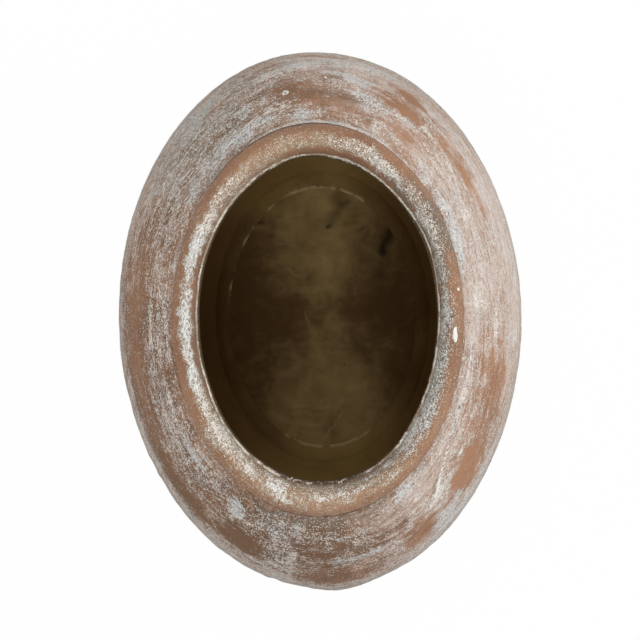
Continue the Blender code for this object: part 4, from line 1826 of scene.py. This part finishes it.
@dataclass
class FloorSlab(ClaySection):
    """The slab that closes the vase below, with a foot ring under it.

    The seal is browner in a pool at the floor's middle and in a lobe on each side, and olive towards the two
    ends. The olive along the long axis and at the ends is painted light and sheen, and the brown of the side
    lobes painted shade. The pool's, the lobes' and the ends' sizes are in millimetres.
    """

    around: int = 440
    ring: bool = False
    rows_under: int = 26
    rows_edge: int = 14
    rows_floor: int = 74
    rows_ramp: int = 3
    rows_sole: int = 7
    foot_ring: float = 0.015
    recess: float = 0.002
    slant: float = 0.003
    foot_round: float = 0.003
    middle: float = 0.0006
    middle_pool: float = 0.56
    pool_long: float = 20.0
    lobe_reach: float = 46.0
    lit_far: float = 0.12
    lit_near: float = 0.60
    lit_from_to: tuple[float, float] = (24.0, 60.0)
    sweeps: float = 0.0007
    sweep_lumps: float = 0.00025
    under_lumps: float = 0.00018
    sole_below: float = 0.0001
    swirl: float = 8.0

    def stretches(self) -> list[Stretch]:
        """From the middle of the recess below, round the foot and in over the floor to its middle.

        Returns:
            The runs of the outline, in order.
        """
        form = self.form
        ring_reach = form.base_reach - self.foot_ring
        foot_reach = form.skin_reach(self.foot_round, 0.0)
        edge_reach = form.skin_reach(form.slab_edge, 0.0)
        bed_reach = form.skin_reach(form.slab_edge, form.wall) - form.slip
        floor_reach = form.skin_reach(form.floor_height, form.wall) - form.slip
        recess = straight((self.middle, self.recess), (ring_reach - self.slant, self.recess), self.rows_under)
        ramp = straight((ring_reach - self.slant, self.recess), (ring_reach, 0.0), self.rows_ramp + 1)[1:]
        sole = straight((ring_reach, 0.0), (foot_reach - self.foot_round, 0.0), self.rows_sole + 1)[1:]
        foot_centre = (foot_reach - self.foot_round, self.foot_round)
        foot = oval_arc(foot_centre, (self.foot_round, self.foot_round), -90, 0, self.rows_edge)
        edge = straight((foot_reach, self.foot_round), (edge_reach, form.slab_edge), 6)[1:]
        bed = straight((bed_reach, form.slab_edge), (floor_reach, form.floor_height), 3)[:-1]
        floor = straight((floor_reach, form.floor_height), (self.middle, form.floor_height), self.rows_floor)
        return [
            Stretch(np.concatenate([recess, ramp, sole]), Skin.BARE, 1.0),
            Stretch(np.concatenate([foot, edge]), Skin.WASHED, 0.6),
            Stretch(bed, Skin.BARE),
            Stretch(floor, Skin.SEALED, 1.0),
        ]

    def work(self, grid: TurnedGrid) -> None:
        """Leaves finger sweeps on the floor inside and low lumps below.

        Args:
            grid: the section's surface.
        """
        noise = ClayNoise(51)
        sweeps = self.sweeps * noise.at(grid.place, 0.030)
        sweeps = sweeps + self.sweep_lumps * noise.rough(grid.place + 1.0, 0.008)
        under = self.under_lumps * noise.rough(grid.place + 2.0, 0.012)
        sole = grid.height[:, None] < self.sole_below
        inside = grid.has(Skin.SEALED)
        grid.push(np.where(inside, sweeps, np.where(sole, -np.abs(under), under)))

    def mark(self, grid: TurnedGrid) -> None:
        """Draws the scuffs, stains and brush marks of the floor inside, and washes the foot's edge.

        Args:
            grid: the section's surface.
        """
        stain = Mark.STAIN
        rows = [
            ((-72.0, -2.0), (-57.0, 9.6), 2.2, 0.55),
            ((-49.5, -12.0), (-49.0, 2.5), 3.4, 0.36),
            ((-53.0, -19.0), (-52.0, 3.0), 5.0, 0.42),
            ((-56.5, -20.0), (-56.5, -2.0), 4.6, 0.38),
            ((-62.0, -20.0), (-62.5, -4.0), 5.6, 0.42),
            ((-66.5, -21.0), (-66.0, -4.0), 4.6, 0.36),
            ((-70.0, -19.0), (-69.0, -4.0), 3.4, 0.36),
            ((-58.0, 4.0), (-50.0, 10.0), 5.0, 0.36),
            ((-44.0, 14.0), (-40.0, 24.0), 9.0, 0.34),
            ((36.0, 2.0), (20.0, 8.0), 9.0, 0.32),
            ((44.0, -26.0), (40.0, -6.0), 5.0, 0.34),
            ((58.0, -24.0), (62.0, -8.0), 7.0, 0.34),
            ((-33.0, -31.5), (-44.0, -24.0), 1.8, 0.36),
            ((2.0, -10.0), (-3.0, -7.0), 3.6, 0.38),
            ((28.0, -20.0), (24.0, -14.0), 2.4, 0.34),
            ((24.0, -30.0), (26.0, -24.0), 1.8, 0.32),
            ((52.0, -14.0), (52.0, -9.0), 1.8, 0.34),
            ((58.5, 36.0), (58.7, 36.2), 1.9, 0.70),
            ((52.5, 4.5), (53.0, 5.5), 3.4, 0.90, stain),
            ((56.0, 6.0), (64.0, 12.0), 13.0, 0.46, stain),
            ((56.0, -35.5), (56.2, -35.0), 2.2, 0.90, stain),
            ((-27.5, 12.4), (-27.3, 12.8), 2.4, 0.90, stain),
            ((50.0, 22.5), (52.0, 26.0), 4.0, 0.45, stain),
            ((70.0, 9.0), (66.0, 16.0), 11.0, 0.42, stain),
            ((49.0, 40.5), (37.0, 36.5), 10.0, 0.85, stain),
            ((42.0, -43.0), (41.0, -42.5), 2.2, 0.55, stain),
            ((42.0, 26.0), (16.0, 34.0), 30.0, 0.30, stain),
        ]
        marks = [FloorMark(*row) for row in rows]
        noise = ClayNoise(52)
        along = grid.place[..., 0] / MM + 1.2 * noise.rough(grid.place, 0.006)
        aside = -grid.place[..., 1] / MM + 1.2 * noise.rough(grid.place + 1.0, 0.006)
        inside = grid.has(Skin.SEALED)
        for kind in Mark:
            total = sum(mark.shape(along, aside) for mark in marks if mark.kind is kind)
            grid.fields[kind.value] = np.where(inside, total, 0.0)
        # Painted light and shade: thick keeps the seal olive along the long axis and towards the ends, where
        # light falls, and browns it in the side lobes, in shade, and in the middle pool.
        middle = self.middle_pool * np.exp(-(((along - 1.0) / self.pool_long) ** 2))
        off_middle = np.abs(aside - 3.0 * noise.at(grid.place + 2.0, 0.030) - 2.0)
        lit_at_ends = np.where(along > 0.0, self.lit_far, self.lit_near)
        ends = lit_at_ends * smooth_step(*self.lit_from_to, np.abs(along))
        ends = ends * smooth_step(self.lobe_reach, 16.0, off_middle)
        grid.fields["thick"] = np.clip(off_middle / self.lobe_reach + middle - ends, 0.0, 1.15)
        coat = WashCoat([], base=0.30, strokes=20, stroke_band=(0.0, 14.0), seed=6)
        coat.lay(grid, grid.run - grid.run[self.rows_under + self.rows_ramp + self.rows_sole - 1])
        swirl = self.swirl * noise.rough(grid.place + 3.0, 0.032, 2)
        swept = np.stack([aside, np.zeros_like(aside), along + swirl], -1) * MM
        grid.fields["turned"] = np.where(inside[..., None], swept, grid.fields["turned"])

    def sealed(self) -> SealedClay:
        """A darker seal than on the walls, because it pooled here.

        Returns:
            The finish.
        """
        return SealedClay(
            self.node + "_seal",
            brown=(0.120, 0.064, 0.022),
            olive=(0.440, 0.312, 0.126),
            pool=0.012,
            stroke_long=0.012,
            stroke_wide=0.0042,
            stroke_share=0.26,
        )


@dataclass
class SeamCoil(ClaySection):
    """A coil of soft clay pressed over an inner seam."""

    seed: int = 61
    lumps: float = 0.0004
    thumb: float = 0.0
    still_edge: float = 0.0030

    def work(self, grid: TurnedGrid) -> None:
        """Presses the coil with fingers and leaves it lumpy, but for its edges.

        Args:
            grid: the section's surface.
        """
        noise = ClayNoise(self.seed)
        wrapped = grid.wrapped(grid.run, 0.09)
        presses = self.thumb * np.sin(grid.turn * 46 + 1.5 * noise.at(wrapped + 4.0, 0.08))
        sealed = grid.run[grid.has(Skin.SEALED)]
        off_start = smooth_step(0.0, self.still_edge, grid.run - sealed.min())
        off_end = smooth_step(0.0, self.still_edge, sealed.max() - grid.run)
        grid.push((self.lumps * noise.rough(wrapped, 0.0055) + presses) * (off_start * off_end))


@dataclass
class FloorSeamCoil(SeamCoil):
    """The coil in the corner between the floor and the wall, with crumbly pale wash caught on its edge.

    It is bedded in the slab, so that the uneven floor leaves no gap under it.
    """

    coil: float = 0.0062
    feather: float = 0.0009
    thin_top: float = 0.0003
    bedded: float = 0.0014
    nose_out: tuple[float, float] = (0.0004, 0.0008)
    toe_wide: float = 0.0024
    crumb_arcs: tuple[tuple[float, float, int, float], ...] = (
        (5.0, 24.0, 4, 1.3),
        (-31.0, 3.5, 2, 1.2),
        (178.0, 30.0, 4, 1.0),
        (298.0, 26.0, 4, 0.45),
    )

    def stretches(self) -> list[Stretch]:
        """Up the wall, hollow down to the toe, and back under.

        Returns:
            The runs of the outline, in order.
        """
        form = self.form
        seat = form.floor_height
        top = seat + self.coil
        seat_reach = form.skin_reach(seat, form.wall)
        top_reach = form.skin_reach(top, form.wall)
        inner = seat_reach - self.coil
        toe = seat + self.feather / 2
        start, corner, end = (top_reach - self.thin_top, top), (seat_reach - self.feather, toe), (inner, toe)
        share = np.linspace(0, 1, 14)[:, None]
        cove = (1 - share) ** 2 * np.array(start) + 2 * share * (1 - share) * np.array(corner)
        cove = cove + share**2 * np.array(end)
        above, below = self.nose_out
        nose = straight((inner - above, seat + self.feather / 4), (inner - below, seat - self.bedded), 4)
        return [
            Stretch(straight((seat_reach, seat - self.bedded), (top_reach, top), 3), Skin.BARE),
            Stretch(np.concatenate([cove, nose]), Skin.SEALED, 1.0),
        ]

    def mark(self, grid: TurnedGrid) -> None:
        """Catches crumbs of wash on the toe, mostly at the two ends.

        Args:
            grid: the section's surface.
        """
        noise = ClayNoise(self.seed + 1)
        wrapped = grid.wrapped(grid.run, 0.07)
        toe = np.exp(-(((grid.run - grid.run[-3]) / self.toe_wide) ** 2))
        caught = sum(
            share * arc_share(grid.turn, turn, spread, power)
            for turn, spread, power, share in self.crumb_arcs
        )
        crumbs = 0.9 + 1.0 * noise.rough(wrapped, 0.006)
        grid.fields["scuff"] = toe * np.clip(caught * crumbs, 0.0, 1.0)

    def sealed(self) -> SealedClay:
        """A seal nearly as dark as the floor's, so that only the crumbs show the seam."""
        return SealedClay(self.node + "_seal", brown=(0.138, 0.076, 0.028), olive=(0.405, 0.275, 0.098))


@dataclass
class BellySeamCoil(SeamCoil):
    """The flattened coil over the seam of the half-lap at the belly."""

    height: float = 0.015
    thick: float = 0.003
    feather: float = 0.0009

    def stretches(self) -> list[Stretch]:
        """Up the wall side and down the room side.

        Returns:
            The runs of the outline, in order.
        """
        form = self.form
        seam = form.belly_height + form.lap_height
        share = np.linspace(0, 1, 14)
        heights = seam + self.height * (share - 0.5)
        above = form.upper_curve.between(heights[0], heights[-1], 200, form.wall)
        below = form.lower_curve.between(heights[0], form.belly_height, 200, form.wall)
        below = below[below[:, 1] < form.belly_height]
        above = above[above[:, 1] > form.belly_height]
        both = np.concatenate([below, above])
        reach = np.interp(heights, both[:, 1], both[:, 0])
        swell = self.feather + (self.thick - self.feather) * np.sin(math.pi * share)
        wall_side = np.stack([reach, heights], 1)
        room_side = np.stack([reach - swell, heights], 1)[::-1]
        return [Stretch(wall_side, Skin.BARE), Stretch(room_side, Skin.SEALED, 1.0)]


@dataclass(frozen=True)
class SoftBox:
    """A studio lamp with a soft face, aimed at the vase. Sizes in metres, power in watts."""

    name: str
    place: tuple[float, float, float]
    face: tuple[float, float]
    power: float
    colour: Colour = (1.0, 1.0, 1.0)
    aim: tuple[float, float, float] = (0.0, 0.0, 0.16)
    face_along: tuple[float, float, float] = (1.0, 0.0, 0.0)

    def build(self) -> bpy.types.Object:
        """Hangs the lamp.

        Returns:
            The lamp's object.
        """
        lamp = bpy.data.lights.new(self.name, "AREA")
        lamp.shape = "RECTANGLE"
        lamp.size, lamp.size_y = self.face
        lamp.energy = self.power
        lamp.color = self.colour
        holder = bpy.data.objects.new(self.name, lamp)
        back = (Vector(self.place) - Vector(self.aim)).normalized()
        side = Vector(self.face_along)
        side = (side - side.dot(back) * back).normalized()
        turned = Matrix((side, back.cross(side), back)).transposed().to_4x4()
        holder.matrix_world = Matrix.Translation(self.place) @ turned
        bpy.context.scene.collection.objects.link(holder)
        return holder


@dataclass
class Studio:
    """The plain pale floor, the soft lamps, and the camera straight above the vase."""

    floor_size: float = 12.0
    floor_grey: float = 0.86
    floor_glow: float = 0.975
    world_grey: float = 0.43
    camera_place: tuple[float, float, float] = (0.0085, -0.012, 1.25)
    camera_aim: tuple[float, float, float] = (-0.0007, 0.0, 0.157)
    camera_tilt: float = 1.6
    lens: float = 118.9
    sensor: float = 36.0
    lamps: tuple[SoftBox, ...] = (
        SoftBox("right_softbox", (0.3, -1.5, 1.15), (1.2, 0.9), 16.0),
        SoftBox("far_softbox", (0.55, 0.0, 1.9), (0.7, 0.5), 4.5, face_along=(0.0, 1.0, 0.0)),
        SoftBox("near_softbox", (-0.50, 0.0, 1.9), (0.7, 0.5), 7.0, face_along=(0.0, 1.0, 0.0)),
        SoftBox("left_softbox", (0.1, 1.5, 0.9), (1.2, 0.9), 4.5),
    )

    def lay_floor(self) -> bpy.types.Object:
        """Lays a pale floor that shows white and still takes the vase's shadow.

        Returns:
            The floor.
        """
        half = self.floor_size / 2
        mesh = bpy.data.meshes.new("studio_floor")
        corners = [(-half, -half, 0), (half, -half, 0), (half, half, 0), (-half, half, 0)]
        mesh.from_pydata(corners, [], [(0, 1, 2, 3)])
        bench = NodeBench("studio_floor")
        bench.tree.nodes.remove(bench.shader)
        matt = bench.node("BsdfDiffuse", {"Color": (self.floor_grey,) * 3})
        glow = bench.node("Emission", {"Color": (1.0, 1.0, 1.0), "Strength": 1.0})
        rays = bench.node("LightPath", {}).outputs
        seen = bench.sum(
            (1.0, rays["Is Camera Ray"]), (1.0, rays["Is Glossy Ray"]), (1.0, rays["Is Transmission Ray"])
        )
        share = bench.window(seen, 0.0, 1.0, 0.0, self.floor_glow)
        both = bench.node("MixShader", {0: share, 1: matt.outputs[0], 2: glow.outputs[0]})
        bench.feed(bench.tree.nodes["Material Output"].inputs["Surface"], both.outputs[0])
        mesh.materials.append(bench.material)
        floor = bpy.data.objects.new("studio_floor", mesh)
        bpy.context.scene.collection.objects.link(floor)
        return floor

    def fill_light(self) -> None:
        """Fills the room with a plain grey, which rays that look past the floor see as white."""
        world = bpy.data.worlds.new("studio")
        bpy.context.scene.world = world
        world.use_nodes = True
        tree = world.node_tree
        fill = tree.nodes["Background"]
        fill.inputs["Color"].default_value = (1.0, 1.0, 1.0, 1.0)
        fill.inputs["Strength"].default_value = self.world_grey
        white = tree.nodes.new("ShaderNodeBackground")
        white.inputs["Color"].default_value = (1.0, 1.0, 1.0, 1.0)
        rays = tree.nodes.new("ShaderNodeLightPath")
        both = tree.nodes.new("ShaderNodeMixShader")
        seen = rays.outputs["Is Camera Ray"]
        for other in ("Is Glossy Ray", "Is Transmission Ray"):
            added = tree.nodes.new("ShaderNodeMath")
            tree.links.new(seen, added.inputs[0])
            tree.links.new(rays.outputs[other], added.inputs[1])
            seen = added.outputs[0]
        tree.links.new(seen, both.inputs[0])
        tree.links.new(fill.outputs[0], both.inputs[1])
        tree.links.new(white.outputs[0], both.inputs[2])
        tree.links.new(both.outputs[0], tree.nodes["World Output"].inputs["Surface"])

    def set_camera(self) -> bpy.types.Object:
        """Sets the camera above the mouth, turned so that the vase's long axis runs up the picture.

        Returns:
            The camera.
        """
        lens = bpy.data.cameras.new("camera")
        lens.lens, lens.sensor_width = self.lens, self.sensor
        camera = bpy.data.objects.new("camera", lens)
        back = (Vector(self.camera_place) - Vector(self.camera_aim)).normalized()
        tilt = math.radians(self.camera_tilt)
        up = Vector((math.cos(tilt), -math.sin(tilt), 0.0))
        right = up.cross(back).normalized()
        turned = Matrix((right, back.cross(right), back)).transposed().to_4x4()
        camera.matrix_world = Matrix.Translation(self.camera_place) @ turned
        bpy.context.scene.collection.objects.link(camera)
        bpy.context.scene.camera = camera
        return camera

    def build(self) -> None:
        """Sets up the whole studio."""
        self.lay_floor()
        self.fill_light()
        for lamp in self.lamps:
            lamp.build()
        self.set_camera()
        bpy.context.scene.view_settings.view_transform = "Standard"
        log.info("studio: %d lamps", len(self.lamps))


@dataclass
class Vase:
    """The whole vase, section by section from the foot up."""

    form: VaseForm
    sections: list[ClaySection] = field(default_factory=list)

    def __post_init__(self) -> None:
        """Lists the sections in the order in which they are luted together."""
        form = self.form
        self.sections = [
            FloorSlab(form, "floor_slab", "floor_clay"),
            LowerWall(form, "lower_wall", "wall_clay"),
            FloorSeamCoil(form, "floor_seam_coil", "seam_clay", lumps=0.0005),
            ShoulderWall(form, "shoulder_wall", "shoulder_clay"),
            BellySeamCoil(form, "belly_seam_coil", "seam_clay", seed=71, lumps=0.0003, thumb=0.0004),
            NeckCollar(form, "neck_collar", "collar_clay"),
            RolledRim(form, "rolled_rim", "rim_clay"),
        ]

    def build(self) -> list[bpy.types.Object]:
        """Builds and dresses every section.

        Returns:
            The pieces.
        """
        return [section.dress(section.build()) for section in self.sections]


def main() -> None:
    """Builds the vase and its studio."""
    logging.basicConfig(level=logging.INFO, format="%(name)s: %(message)s")
    pieces = Vase(VaseForm.from_frame()).build()
    Studio().build()
    log.info("vase: %d pieces", len(pieces))


if __name__ == "__main__":
    main()
